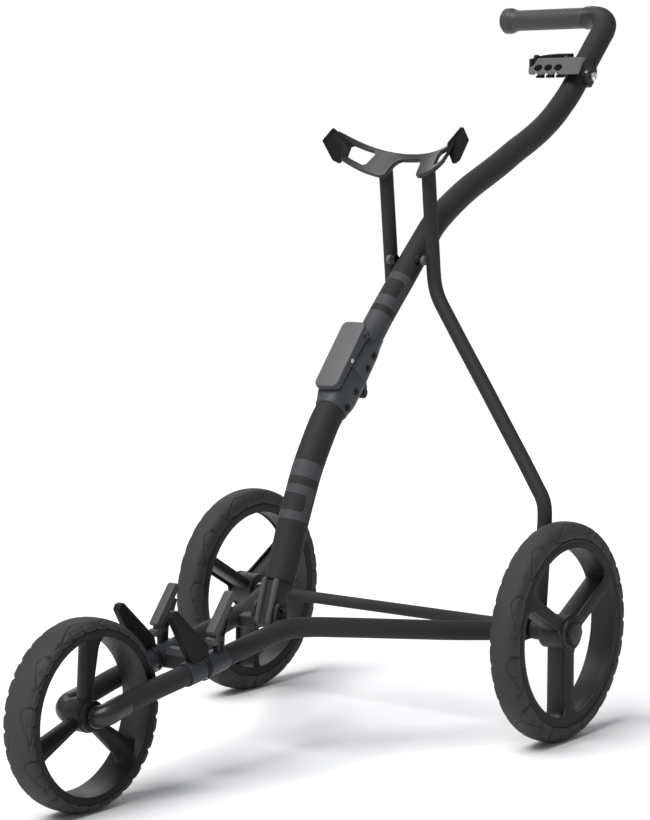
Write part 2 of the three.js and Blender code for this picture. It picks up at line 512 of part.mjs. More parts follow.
// ---------------------------------------------------------------- upper mast
{
  let mast = solid(pipe(mastUpAt, circle(MAST_UP_R, 14), circle(MAST_UP_R - MAST_WALL, 14), UP_ACROSS));
  mast = mast.subtract(solid(rodX(4.35, -40, 40, ...PIVOT, 14)));
  for (const s of bolts.upper) mast = mast.subtract(solid(rodX(2.6, -40, 40, ...hp(s, 3), 12)));
  addSolid('mast_upper_tube', mast, tubeMat());
}

// pin that the bag struts swing on, with a shoulder on either side of the mast
{
  let g = turnedX([[-25.2, 0], [-25.2, 6.4], [-20.2, 7.0], [-18.6, 7.0], [-18.6, 4.0], [18.6, 4.0], [18.6, 7.0], [20.2, 7.0], [25.2, 6.4], [25.2, 0]], 18);
  g.translate(0, ...PIVOT);
  const cut = clearance(mastUpAt, MAST_UP_R, 14, 0.4, UP_ACROSS);
  const core = solid(rodX(4.0, -20, 20, ...PIVOT, 14));
  addSolid('strut_pivot_pin', solid(g).subtract(cut).add(core), steelMat());
}

// grip on a thin core, with the flared end and cap
add('grip_core', turnedX([[-189.5, 0], [-189.5, 11.7], [-43.4, 11.7], [-43.4, 14.7], [-36, 14.7], [-36, 0]], 16).translate(0, GRIP_Y, GRIP_Z), steelMat());
{
  const grip = turnedX(closedProfile([
    [-190.5, 12.1], [-190.5, 19.0], [-189.0, 20.1], [-180.5, 20.1], [-176.5, 19.0], [-169, 16.3], [-165, 16.0], [-47.0, 16.0], [-44.0, 15.4], [-44.0, 12.1],
  ]), 20);
  grip.translate(0, GRIP_Y, GRIP_Z);
  add('grip', grip, rubberMat());
  const cap = turnedX([[-195.4, 0], [-195.4, 11], [-193.6, 16.0], [-190.9, 17.8], [-190.9, 0]], 20);
  cap.translate(0, GRIP_Y, GRIP_Z);
  add('grip_cap', cap, plasticMat());
}

// ---------------------------------------------------------------- console on the upper mast
{
  const zc = 896, yc = 473.2; // where the clamp holds the tube
  // the tray rises towards the back about its front edge
  const tilt = (g) => g.translate(0, -430.6, -905.4).rotateX(12 * Math.PI / 180).translate(0, 430.6, 905.4);
  const t = V(0, 0.70, 0.714).normalize();
  const c = V(0, yc, zc);
  const mastCut = clearance(mastUpAt, MAST_UP_R, 14, 0.45, UP_ACROSS);
  let clamp = solid(rod(22.4, c.clone().addScaledVector(t, -12), c.clone().addScaledVector(t, 12), 26));
  // ear with the clamp screw, on the cart's left
  clamp = clamp.add(solid(prismX([[441, 911], [452, 918.5], [471, 892], [470, 880], [462, 872.5], [452, 875]], 8, 26)));
  // bridge to the tray
  const bridge = box(-26, 12, 434.3, 462, 897.5, 904.6);
  tilt(bridge);
  clamp = clamp.add(solid(bridge));
  clamp = clamp.subtract(mastCut);
  clamp = clamp.subtract(solid(rodX(3.4, 16, 40, 463.7, 889.1, 12)));
  addSolid('console_clamp', clamp.decompose().sort((a, b) => b.volume() - a.volume())[0], plasticMat());
  const screw = turnedX([[18.5, 0], [18.5, 3.0], [26.4, 3.0], [26.4, 6.4], [30.5, 6.4], [32.4, 3.6], [32.4, 0]], 16);
  screw.translate(0, 463.7, 889.1);
  add('clamp_screw', screw, steelMat());

  // tray: rounded plate with a raised rim and a round seat, right of the tube
  const rimShape = (g) => {
    const s = new THREE.Shape();
    s.moveTo(-62 + g, 430.6 + g); s.lineTo(14 - g, 430.6 + g);
    s.absarc(10 - g, 446, 15.4 - g * 1.0, -Math.PI / 3, Math.PI / 3, false);
    s.lineTo(-30, 488 - g);
    s.absarc(-44, 459.5, 28.5 - g, Math.PI / 2 - 0.25, Math.PI * 1.5 - 0.45, false);
    return s;
  };
  const outer = new THREE.ExtrudeGeometry(rimShape(0), { depth: 9, bevelEnabled: false, curveSegments: 12 });
  outer.translate(0, 0, 905.4);
  tilt(outer);
  const pocket = new THREE.ExtrudeGeometry(rimShape(3), { depth: 12, bevelEnabled: false, curveSegments: 12 });
  pocket.translate(0, 0, 908.4);
  tilt(pocket);
  let tray = solid(outer).subtract(solid(pocket)).subtract(mastCut);
  tray = tray.subtract(solid(rod(MAST_UP_R + 5.2, c.clone().addScaledVector(t, -13), c.clone().addScaledVector(t, 13), 26)));
  const posts = [[-59, 429, 903.6, 917], [-52.2, 431.5, 903.6, 922.5]];
  for (const [x, y, z0, z1] of posts) tray = tray.subtract(solid(rod(4.8, V(x, y, z0 - 20), V(x, y, z1 + 20), 16)));
  tray = tray.subtract(solid(box(-100, 60, 420, 430.6, 880, 940))).subtract(solid(box(7.6, 30, 437, 480, 880, 940)));
  addSolid('console_tray', tray.decompose().sort((a, b) => b.volume() - a.volume())[0], plasticMat());

  // front plate with a slanted right end and three oval windows
  const plateShape = new THREE.Shape([[-62.4, 892], [-62.4, 903.4], [-54, 906], [-45.5, 917], [33.2, 916.4], [23.2, 892]].map(([x, z]) => new THREE.Vector2(x, z)));
  const seats = [-45.2, -27.8, -10.4];
  const slanted = (cx, a, b, n = 18) => circle(1, n).map((q) => new THREE.Vector2(cx + a * q.x + 0.35 * b * q.y, 902.4 + b * q.y));
  for (const x of seats) plateShape.holes.push(new THREE.Path(slanted(x, 6.2, 4.6)));
  const plateGeometry = new THREE.ExtrudeGeometry(plateShape, { depth: 5.6, bevelEnabled: false });
  // (x, z, depth) -> (x, y, z)
  const upright = (y) => new THREE.Matrix4().set(1, 0, 0, 0, 0, 0, -1, y, 0, 1, 0, 0, 0, 0, 0, 1);
  plateGeometry.applyMatrix4(upright(430.2));
  let plate = solid(plateGeometry);
  for (const [x, y, z0, z1] of posts) plate = plate.subtract(solid(rod(4.8, V(x, y, z0 - 0.4), V(x, y, z1 + 20), 16)));
  for (const x of seats) plate = plate.subtract(solid(prismX([[424, 890], [431, 890], [431, 895.5], [424, 895.5]], x - 7.6, x - 3.0)));
  addSolid('console_plate', plate.decompose().sort((a, b) => b.volume() - a.volume())[0], coverMat());

  // rubber comb behind the plate: sleeves in the windows, teeth below and two posts at the end
  let comb = solid(box(-61, -2, 430.6, 433.6, 896.2, 904.5));
  for (const x of seats) {
    const sleeve = new THREE.ExtrudeGeometry(new THREE.Shape(slanted(x, 5.8, 4.2)), { depth: 4.6, bevelEnabled: false });
    sleeve.applyMatrix4(upright(431));
    comb = comb.add(solid(sleeve));
    comb = comb.add(solid(box(x - 4.6, x + 6.6, 425.6, 431, 887.4, 891.6))).add(solid(box(x - 4.6, x + 6.6, 430.6, 433.6, 887.4, 898)));
    for (const d of [-1.6, 1.0, 3.6]) comb = comb.subtract(solid(box(x + d - 0.5, x + d + 0.5, 424, 427.6, 880, 891)));
  }
  comb = comb.subtract(solid(box(-62, -1, 430.1, 434, 904.9, 908)));
  for (const [x, y, z0, z1] of posts) comb = comb.add(solid(rod(4.4, V(x, y, z0), V(x, y, z1), 16)));
  addSolid('tee_comb', comb, rubberMat());
}

// ---------------------------------------------------------------- bag struts and cradle
const CR = 45 * Math.PI / 180; // the cradle leans with the bag
const cw = Math.cos(CR), cz = Math.sin(CR);
// (x, w, h) -> cart, with w up along the bag and h square to it
const cradleMatrix = new THREE.Matrix4().set(1, 0, 0, 0, 0, cw, -cz, 0, 0, cz, cw, 0, 0, 0, 0, 1);
const CR_TOP = (x) => 521.8 + 0.00395 * x * x + 6.5e-8 * x ** 4; // height of the cradle's upper face
const CR_THICK = 6.8;
for (const side of [1, -1]) {
  const S = side > 0 ? 'left' : 'right';
  // the left strut runs from the cradle past the mast to the axle; the right one is a short post that ends below the pivot
  const post = [[35.6, 21.1, 752], [35.5, 27.4, 690], [35.5, 33.0, 635]];
  const line = side > 0
    ? [...post, [35.6, 35.2, 612], [37.0, 35.6, 598], [41.0, 34.8, 585], [47.8, 33.8, 572], [57.6, 32.6, 558.2], [87.8, 29.0, 516], [126, 24.6, 463.5], [162.5, 20.3, 412.5],
      [199.1, 16.0, 361.7], [220.0, 13.5, 331.5], [227.0, 12.6, 321.4], [231.3, 11.7, 311.1], [233.3, 10.6, 298], [233.3, 8.0, 265], [233.2, 4.0, 215], [233.1, 0.6, 180], [233.1, 0, 160]]
    : [...post, [35.5, 38.0, 585]];
  let strut = solid(pipe(stations(line.map(([x, y, z]) => V(side * x, y, z)), 0.3), circle(STRUT_R, 14), circle(STRUT_R - 1.8, 14)));
  if (side > 0) {
    const foot = solid(turnedX([[-7.8, 0], [-7.8, 14.5], [7.8, 14.5], [7.8, 0]], 16).translate(233.1, 0, AXLE_Z));
    const neck = solid(box(233.1 - 7.8, 233.1 + 7.8, -8.2, 8.2, AXLE_Z + 4, AXLE_Z + 24));
    strut = strut.add(foot).add(neck).subtract(axleBore);
  } else {
    // plug in the post's lower end
    strut = strut.add(solid(rod(STRUT_R - 0.6, V(-35.5, 37.4, 591), V(-35.5, 38.2, 583), 14)));
  }
  // boss on the front of the post, for the pivot pin
  strut = strut.add(solid(rodX(6.6, side > 0 ? 25.65 : -33.5, side > 0 ? 33.5 : -25.65, ...PIVOT, 16)));
  // the top is cut to sit under the cradle
  const slab = box(-80, 80, 500, 620, CR_TOP(27) - CR_THICK - 0.4, 640);
  slab.applyMatrix4(cradleMatrix);
  strut = strut.subtract(solid(slab));
  addSolid(`bag_strut_${S}`, strut.decompose().sort((a, b) => b.volume() - a.volume())[0], tubeMat());
}
{
  // arched band, extruded along the bag
  const xs = [-106, -98, -90, -80, -68, -56, -44, -32, -20, -10, 0, 10, 20, 32, 44, 56, 68, 80, 90, 98, 106];
  const low = xs.map((x) => new THREE.Vector2(x, CR_TOP(x) - CR_THICK));
  const high = [...xs].reverse().map((x) => new THREE.Vector2(x, CR_TOP(x)));
  const band = new THREE.ExtrudeGeometry(new THREE.Shape([...low, ...high]), { depth: 52, bevelEnabled: false });
  // (x, h, w) -> (x, w, h)
  band.applyMatrix4(new THREE.Matrix4().set(1, 0, 0, 0, 0, 0, 1, 523, 0, 1, 0, 0, 0, 0, 0, 1));
  // outline seen square to the band, with the front notch and the two windows
  const o = new THREE.Shape();
  const half = [[0, 561], [14.5, 560.6], [19, 557], [22, 551], [24.6, 534], [27, 529], [33, 526.5], [60, 527.5], [86, 531], [95, 540], [97, 556], [103, 570], [95, 571], [60, 571.5], [0, 572.7]];
  o.moveTo(...half[0]);
  for (const p of half.slice(1)) o.lineTo(...p);
  for (const [x, y] of [...half].reverse().slice(1, -1)) o.lineTo(-x, y);
  o.closePath();
  for (const s of [1, -1]) {
    const h = [[54.5, 564.5], [82, 562.8], [84.3, 559], [82.4, 542], [79.5, 539], [60, 536.6], [57, 540], [53, 560]];
    const pth = new THREE.Path(h.map(([x, y]) => new THREE.Vector2(s * x, y)));
    o.holes.push(pth);
  }
  const outline = new THREE.ExtrudeGeometry(o, { depth: 90, bevelEnabled: false });
  outline.translate(0, 0, CR_TOP(0) - 12);
  let cradle = solid(band).intersect(solid(outline));
  // five-sided end plates, which face the front of the cart
  const n = V(-0.322, -0.9405, 0.1085).normalize();
  for (const s of [1, -1]) {
    const face = [[106.7, -5.8, 810], [120.5, -12.6, 792], [104.4, -10.2, 764.9], [94.5, -7.4, 759.9], [86.5, -3.4, 771], [79.3, 1.0, 787.5]];
    const pts = [];
    for (const [x, y, z] of face) for (const d of [0, -5.0]) pts.push([s * (x + n.x * d), y + n.y * d, z + n.z * d]);
    const inv = cradleMatrix.clone().invert();
    cradle = cradle.add(wasm.Manifold.hull(pts.map(([x, y, z]) => V(x, y, z).applyMatrix4(inv).toArray())));
  }
  const g = geometryOf(cradle);
  g.applyMatrix4(cradleMatrix);
  add('bag_cradle', g, plasticMat());
}

export default cart;
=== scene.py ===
import json
import math

import bmesh
import bpy
import numpy as np
from mathutils import Matrix, Vector


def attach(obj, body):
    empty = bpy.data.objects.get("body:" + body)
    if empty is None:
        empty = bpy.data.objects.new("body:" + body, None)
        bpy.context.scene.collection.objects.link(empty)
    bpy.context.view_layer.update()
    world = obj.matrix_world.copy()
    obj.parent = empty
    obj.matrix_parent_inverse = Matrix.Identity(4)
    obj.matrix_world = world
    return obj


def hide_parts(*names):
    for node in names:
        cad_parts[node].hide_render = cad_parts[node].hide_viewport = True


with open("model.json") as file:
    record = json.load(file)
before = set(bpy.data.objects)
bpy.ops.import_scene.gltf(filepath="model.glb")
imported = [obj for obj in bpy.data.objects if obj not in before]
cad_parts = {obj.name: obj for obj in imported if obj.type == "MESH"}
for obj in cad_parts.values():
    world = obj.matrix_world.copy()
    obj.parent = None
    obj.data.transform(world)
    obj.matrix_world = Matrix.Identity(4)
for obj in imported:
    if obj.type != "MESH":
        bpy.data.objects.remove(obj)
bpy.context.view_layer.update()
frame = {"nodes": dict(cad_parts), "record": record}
NODES = frame["nodes"]
BODY = {n: b for b, ns in frame["record"]["behaviour"]["bodies"].items() for n in ns}
SHIFT = 85.4  # mm, from the rear axle to the middle of the cart

# ------------------------------------------------------------------ materials


class Nodes:
    """Short helper around one material's node tree."""

    def __init__(self, name):
        self.m = bpy.data.materials.new(name)
        self.m.use_nodes = True
        self.t = self.m.node_tree
        self.p = self.t.nodes["Principled BSDF"]
        self.coord = None

    def new(self, kind, **kw):
        n = self.t.nodes.new(kind)
        for k, v in kw.items():
            setattr(n, k, v)
        return n

    def link(self, a, b):
        self.t.links.new(a, b)

    def obj(self):
        if self.coord is None:
            self.coord = self.new("ShaderNodeTexCoord")
        return self.coord.outputs["Object"]

    def uv(self):
        if self.coord is None:
            self.coord = self.new("ShaderNodeTexCoord")
        return self.coord.outputs["UV"]

    def noise(self, scale, detail=3.0, rough=0.55, vec=None):
        n = self.new("ShaderNodeTexNoise")
        n.inputs["Scale"].default_value = scale
        n.inputs["Detail"].default_value = detail
        n.inputs["Roughness"].default_value = rough
        self.link(vec or self.obj(), n.inputs["Vector"])
        return n.outputs["Fac"]

    def voronoi(self, scale, feature="F1", vec=None):
        n = self.new("ShaderNodeTexVoronoi", feature=feature)
        n.inputs["Scale"].default_value = scale
        self.link(vec or self.obj(), n.inputs["Vector"])
        return n.outputs["Distance"]

    def math(self, op, a, b=None, clamp=False):
        n = self.new("ShaderNodeMath", operation=op, use_clamp=clamp)
        for i, v in enumerate((a, b)):
            if v is None:
                continue
            if isinstance(v, (int, float)):
                n.inputs[i].default_value = v
            else:
                self.link(v, n.inputs[i])
        return n.outputs[0]

    def span(self, v, lo, hi, to_lo, to_hi):
        n = self.new("ShaderNodeMapRange")
        n.inputs["From Min"].default_value = lo
        n.inputs["From Max"].default_value = hi
        n.inputs["To Min"].default_value = to_lo
        n.inputs["To Max"].default_value = to_hi
        self.link(v, n.inputs["Value"])
        return n.outputs["Result"]

    def mix(self, f, a, b):
        n = self.new("ShaderNodeMix", data_type="RGBA")
        for sock, v in ((n.inputs["Factor"], f), (n.inputs[6], a), (n.inputs[7], b)):
            if isinstance(v, (int, float)):
                sock.default_value = v
            elif isinstance(v, tuple):
                sock.default_value = (*v, 1.0)
            else:
                self.link(v, sock)
        return n.outputs[2]

    def bump(self, height, strength, distance, normal=None):
        n = self.new("ShaderNodeBump")
        n.inputs["Strength"].default_value = strength
        n.inputs["Distance"].default_value = distance
        self.link(height, n.inputs["Height"])
        if normal is not None:
            self.link(normal, n.inputs["Normal"])
        return n.outputs["Normal"]

    def set(self, **kw):
        for k, v in kw.items():
            s = self.p.inputs[k.replace("_", " ")]
            if isinstance(v, (int, float)):
                s.default_value = v
            elif isinstance(v, tuple):
                s.default_value = (*v, 1.0)
            else:
                self.link(v, s)
        return self


def coated(name, dark, light, rough=(0.42, 0.55), grain=1400.0, bump=0.12, spec=0.5, metallic=0.0):
    """Powder coat or moulded plastic: soft mottling, fine grain and slightly uneven gloss."""
    n = Nodes(name)
    big = n.noise(9.0, 4.0, 0.6)
    fine = n.noise(grain, 2.0, 0.6)
    blotch = n.math("ADD", n.math("MULTIPLY", big, 0.7), n.math("MULTIPLY", fine, 0.3))
    col = n.mix(n.span(blotch, 0.35, 0.65, 0.0, 1.0), dark, light)
    scuffs = n.span(n.noise(55.0, 6.0, 0.7), 0.55, 0.8, 0.0, 1.0)
    r = n.math("ADD", n.span(blotch, 0.3, 0.7, rough[0], rough[1]), n.math("MULTIPLY", scuffs, 0.06))
    n.set(Base_Color=col, Roughness=r, Metallic=metallic, Specular_IOR_Level=spec)
    n.set(Normal=n.bump(fine, bump, 0.0002))
    return n


TUBE_D, TUBE_L = (0.0150, 0.0150, 0.0152), (0.0215, 0.0215, 0.0216)


def rounded_box(n, x, y, cx, cy, hx, hy, r):
    """1 inside a rounded rectangle, 0 outside, with a hair-thin soft edge."""
    qx = n.math("SUBTRACT", n.math("ABSOLUTE", n.math("SUBTRACT", x, cx)), hx - r)
    qy = n.math("SUBTRACT", n.math("ABSOLUTE", n.math("SUBTRACT", y, cy)), hy - r)
    ox, oy = n.math("MAXIMUM", qx, 0.0), n.math("MAXIMUM", qy, 0.0)
    outside = n.math("SQRT", n.math("ADD", n.math("MULTIPLY", ox, ox), n.math("MULTIPLY", oy, oy)))
    inside = n.math("MINIMUM", n.math("MAXIMUM", qx, qy), 0.0)
    d = n.math("SUBTRACT", n.math("ADD", outside, inside), r)
    return n.span(d, -0.00012, 0.00012, 1.0, 0.0)


def mast_material(name, radius, solid, outline, window, window_arc, band_arc, link_arc, smooth_from=None):
    """Powder coat with the printed grey band and band frame. Lengths along the tube in metres."""
    n = coated(name, TUBE_D, TUBE_L, (0.66, 0.78), 1500.0, 0.10, 0.3)
    sep = n.new("ShaderNodeSeparateXYZ")
    n.link(n.uv(), sep.inputs[0])
    arc = n.math("MULTIPLY", n.math("SUBTRACT", sep.outputs[0], 0.5), 2 * math.pi * radius)
    along = sep.outputs[1]
    rect = lambda lo, hi, half, r: rounded_box(n, arc, along, 0.0, (lo + hi) / 2, half, (hi - lo) / 2, r)
    band = rect(*solid, band_arc, 0.0015)
    ring = n.math("MULTIPLY", rect(*outline, link_arc, 0.004), n.math("SUBTRACT", 1.0, rect(*window, window_arc, 0.0045)))
    mask = n.math("MAXIMUM", band, ring, clamp=True)
    old = n.p.inputs["Base Color"].links[0].from_socket
    grey = n.mix(n.noise(30.0, 3.0), (0.046, 0.046, 0.051), (0.060, 0.060, 0.066))
    n.set(Base_Color=n.mix(mask, old, grey))
    rough = n.p.inputs["Roughness"].links[0].from_socket
    rough = n.math("SUBTRACT", rough, n.math("MULTIPLY", mask, 0.08))
    if smooth_from:
        rough = n.math("SUBTRACT", rough, n.span(along, smooth_from, smooth_from + 0.012, 0.0, 0.34))
        n.set(Specular_IOR_Level=n.span(along, smooth_from, smooth_from + 0.012, 0.3, 0.5))
    n.set(Roughness=rough)
    return n.m


M = {}
M["tube"] = coated("tube_black", TUBE_D, TUBE_L, (0.62, 0.74), 1500.0, 0.10, 0.32).m
M["cast"] = coated("cast_black", (0.011, 0.011, 0.012), (0.018, 0.018, 0.019), (0.30, 0.42), 900.0, 0.08, 0.5).m
M["plastic"] = coated("plastic_black", (0.012, 0.0125, 0.0135), (0.019, 0.0195, 0.0205), (0.48, 0.62), 1900.0, 0.16, 0.36).m
M["gloss"] = coated("plastic_black_smooth", (0.013, 0.0135, 0.0145), (0.020, 0.0205, 0.0215), (0.34, 0.46), 1900.0, 0.10, 0.45).m
M["cover_side"] = coated("cover_side_dark", (0.040, 0.041, 0.044), (0.055, 0.056, 0.060), (0.46, 0.58), 1600.0, 0.14, 0.4).m


def rim_material():
    """Textured and darker on the faces that look sideways, smoother and lighter on the barrel and the spokes' edges;
    the lighter flat colour there is painted light, chosen by which way the surface faces.
    """
    n = coated("rim_black", (0.0078, 0.0084, 0.0100), (0.0125, 0.0132, 0.0150), (0.46, 0.58), 1700.0, 0.14)
    sep = n.new("ShaderNodeSeparateXYZ")
    n.link(n.new("ShaderNodeTexCoord").outputs["Normal"], sep.inputs[0])
    side = n.math("ABSOLUTE", sep.outputs[0])
    old = n.p.inputs["Base Color"].links[0].from_socket
    # painted light: surfaces that face off the axle (barrel, spokes' edges) take a lighter flat colour than the
    # sideways faces
    n.set(Base_Color=n.mix(n.span(side, 0.45, 0.85, 0.0, 1.0), (0.021, 0.021, 0.022), old))
    n.set(Specular_IOR_Level=n.span(side, 0.45, 0.85, 0.45, 0.15))
    return n.m


M["rim"] = rim_material()
M["prong"] = coated("prong_black", (0.0062, 0.0064, 0.0070), (0.0100, 0.0102, 0.0110), (0.46, 0.58), 1700.0, 0.14, 0.16).m
M["housing"] = coated("housing_grey", (0.034, 0.039, 0.048), (0.045, 0.051, 0.060), (0.46, 0.58), 1300.0, 0.14, 0.4).m
M["cover"] = coated("cover_grey", (0.086, 0.086, 0.089), (0.106, 0.106, 0.109), (0.5, 0.6), 1600.0, 0.16, 0.4).m
M["plate"] = coated("plate_grey", (0.118, 0.118, 0.116), (0.146, 0.145, 0.142), (0.5, 0.62), 1600.0, 0.16, 0.4).m
# the light grey of the strut pivot lugs is a painted highlight for the bright spot at the pivot
M["boss"] = coated("boss_grey_painted_highlight", (0.085, 0.085, 0.086), (0.115, 0.115, 0.116), (0.4, 0.52), 1300.0, 0.10, 0.4).m
M["collar"] = coated("collar_blue_black", (0.020, 0.023, 0.030), (0.028, 0.031, 0.040), (0.40, 0.52), 1300.0, 0.10, 0.4).m


def metal(name, dark, light, rough=(0.24, 0.4)):
    n = Nodes(name)
    streak = n.new("ShaderNodeMapping")
    streak.inputs["Scale"].default_value = (1.0, 30.0, 30.0)
    n.link(n.obj(), streak.inputs["Vector"])
    grain = n.noise(160.0, 5.0, 0.65, streak.outputs["Vector"])
    col = n.mix(n.span(grain, 0.3, 0.7, 0.0, 1.0), dark, light)
    n.set(Base_Color=col, Metallic=1.0, Roughness=n.span(grain, 0.3, 0.7, *rough))
    n.set(Normal=n.bump(grain, 0.08, 0.0001))
    return n.m


M["steel"] = metal("steel_bright", (0.50, 0.50, 0.51), (0.68, 0.68, 0.70))
M["steel_soft"] = metal("steel_satin", (0.62, 0.62, 0.63), (0.80, 0.80, 0.82), (0.4, 0.55))
M["black_steel"] = metal("steel_black", (0.030, 0.030, 0.032), (0.050, 0.050, 0.053), (0.3, 0.45))


def rubber(name, dark, light, rough=(0.62, 0.8), grain=900.0, bump=0.25):
    n = Nodes(name)
    big = n.noise(14.0, 5.0, 0.6)
    pores = n.voronoi(grain)
    fine = n.noise(grain * 1.7, 2.0)
    col = n.mix(n.span(big, 0.3, 0.7, 0.0, 1.0), dark, light)
    dust = n.span(n.noise(70.0, 7.0, 0.72), 0.58, 0.85, 0.0, 0.35)
    col = n.mix(dust, col, tuple(min(1.0, c * 1.9) for c in light))
    n.set(Base_Color=col, Roughness=n.span(big, 0.3, 0.7, *rough), Specular_IOR_Level=0.35)
    h = n.math("ADD", n.math("MULTIPLY", pores, 0.5), n.math("MULTIPLY", fine, 0.5))
    n.set(Normal=n.bump(h, bump, 0.0003))
    return n.m


M["tyre"] = rubber("tyre_rubber", (0.028, 0.0275, 0.0275), (0.037, 0.036, 0.036), (0.66, 0.82))
M["pad"] = rubber("pad_rubber", (0.055, 0.055, 0.055), (0.075, 0.075, 0.074), (0.5, 0.66), 1300.0, 0.2)
M["grip"] = rubber("grip_rubber", (0.040, 0.040, 0.040), (0.052, 0.052, 0.052), (0.40, 0.52), 1500.0, 0.2)
M["comb"] = rubber("comb_rubber", (0.0075, 0.0075, 0.0078), (0.012, 0.012, 0.0125), (0.5, 0.64), 1500.0, 0.2)
ELBOW_FROM = 0.836  # metres along the upper mast
M["mast_low"] = mast_material("tube_black_lower_bands", 0.0204, (0.1385, 0.1595), (0.081, 0.1275), (0.092, 0.1153), 0.0235, 0.0375, 0.0350)
M["mast_up"] = mast_material("tube_black_upper_bands", 0.0178, (0.060, 0.1040), (0.1145, 0.1735), (0.1320, 0.1610), 0.0208, 0.0330, 0.0310, ELBOW_FROM)

# ------------------------------------------------------------------ mesh code


def place(v):
    """Axle-frame millimetres to row-frame metres."""
    v = np.asarray(v, float).reshape(-1, 3).copy()
    v[:, 1] += SHIFT
    return v * 0.001


def make(name, verts, faces, mat, nodes=(), body=None, slot=None, sharp=35.0, uv=None, bevel=0.0, segments=2):
    """One mesh piece from axle-frame millimetres, riding on the body of the node it stands for."""
    me = bpy.data.meshes.new(name)
    me.from_pydata(place(verts).tolist(), [], [list(f) for f in faces])
    me.validate()
    bm = bmesh.new()
    bm.from_mesh(me)
    if uv is None:
        bmesh.ops.recalc_face_normals(bm, faces=bm.faces)
    elif bm.calc_volume(signed=True) < 0:
        bmesh.ops.reverse_faces(bm, faces=bm.faces)
    bm.to_mesh(me)
    bm.free()
    if uv is not None:
        layer = me.uv_layers.new(name="UVMap")
        layer.data.foreach_set("uv", np.asarray(uv(me), np.float32).ravel())
    me.polygons.foreach_set("use_smooth", [True] * len(me.polygons))
    me.set_sharp_from_angle(angle=math.radians(sharp))
    o = bpy.data.objects.new(name, me)
    bpy.context.scene.collection.objects.link(o)
    return finish_piece(o, mat, nodes, body, bevel, segments)


def finish_piece(o, mat, nodes=(), body=None, bevel=0.0, segments=2):
    o.data.materials.clear()
    o.data.materials.append(M[mat])
    if bevel:
        b = o.modifiers.new("edges", "BEVEL")
        b.width = bevel * 0.001
        b.segments = segments
        b.limit_method = "ANGLE"
        b.angle_limit = math.radians(32)
        b.harden_normals = False
        b.use_clamp_overlap = True
    nodes = [nodes] if isinstance(nodes, str) else list(nodes)
    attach(o, body or BODY[nodes[0]])
    if nodes:
        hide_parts(*nodes)
    return o


def merge(parts):
    """Several (verts, faces) into one."""
    verts, faces, base = [], [], 0
    for v, f in parts:
        v = np.asarray(v, float).reshape(-1, 3)
        verts.append(v)
        faces += [[i + base for i in q] for q in f]
        base += len(v)
    return np.vstack(verts), faces


def grid_faces(rows, cols, wrap_rows=False, wrap_cols=True):
    out = []
    for i in range(rows if wrap_rows else rows - 1):
        a, b = i * cols, ((i + 1) % rows) * cols
        for j in range(cols if wrap_cols else cols - 1):
            k = (j + 1) % cols
            out.append((a + j, a + k, b + k, b + j))
    return out


def lathe(profile, seg=96, caps=True, phase=0.0):
    """Turned piece about the X axis; profile is [axial, radius]. An open profile is closed by its end faces."""
    prof = np.array(profile, float)
    closed = np.allclose(prof[0], prof[-1])
    if closed:
        prof = prof[:-1]
    th = np.linspace(0, 2 * math.pi, seg, endpoint=False) + phase
    v = np.zeros((len(prof), seg, 3))
    v[:, :, 0] = prof[:, :1]
    v[:, :, 1] = prof[:, 1:] * np.cos(th)
    v[:, :, 2] = prof[:, 1:] * np.sin(th)
    f = grid_faces(len(prof), seg, wrap_rows=closed)
    if not closed and caps:
        f.append(tuple(range(seg))[::-1])
        f.append(tuple(range((len(prof) - 1) * seg, len(prof) * seg)))
    return v.reshape(-1, 3), f


def moved(part, x=0.0, y=0.0, z=0.0, mirror=False):
    v, f = part
    v = np.asarray(v, float).reshape(-1, 3).copy()
    if mirror:
        v[:, 0] *= -1
        f = [tuple(reversed(q)) for q in f]
    return v + np.array([x, y, z]), f


def turned_to(part, direction, centre):
    """Turns a piece made about X so that X points along direction, and moves it to centre."""
    v, f = part
    q = Vector((1, 0, 0)).rotation_difference(Vector(direction).normalized())
    r = np.array(q.to_matrix())
    return np.asarray(v).reshape(-1, 3) @ r.T + np.array(centre, float), f


def catmull(points, per=8):
    """Smooth curve through the points, evenly eased at every point."""
    pts = [np.array(p, float) for p in points]
    out, n = [], len(pts)
    for i in range(n - 1):
        p1, p2 = pts[i], pts[i + 1]
        p0 = pts[i - 1] if i else 2 * p1 - p2
        p3 = pts[i + 2] if i + 2 < n else 2 * p2 - p1
        a, b, c = (max(float(np.dot(q, q)) ** 0.25, 1e-4) for q in (p1 - p0, p2 - p1, p3 - p2))
        t1 = ((p1 - p0) / a - (p2 - p0) / (a + b) + (p2 - p1) / b) * b
        t2 = ((p2 - p1) / b - (p3 - p1) / (b + c) + (p3 - p2) / c) * b
        for k in range(per):
            s = k / per
            out.append(p1 + t1 * s + (-3 * p1 + 3 * p2 - 2 * t1 - t2) * s * s + (2 * p1 - 2 * p2 + t1 + t2) * s ** 3)
    out.append(pts[-1])
    return np.array(out)


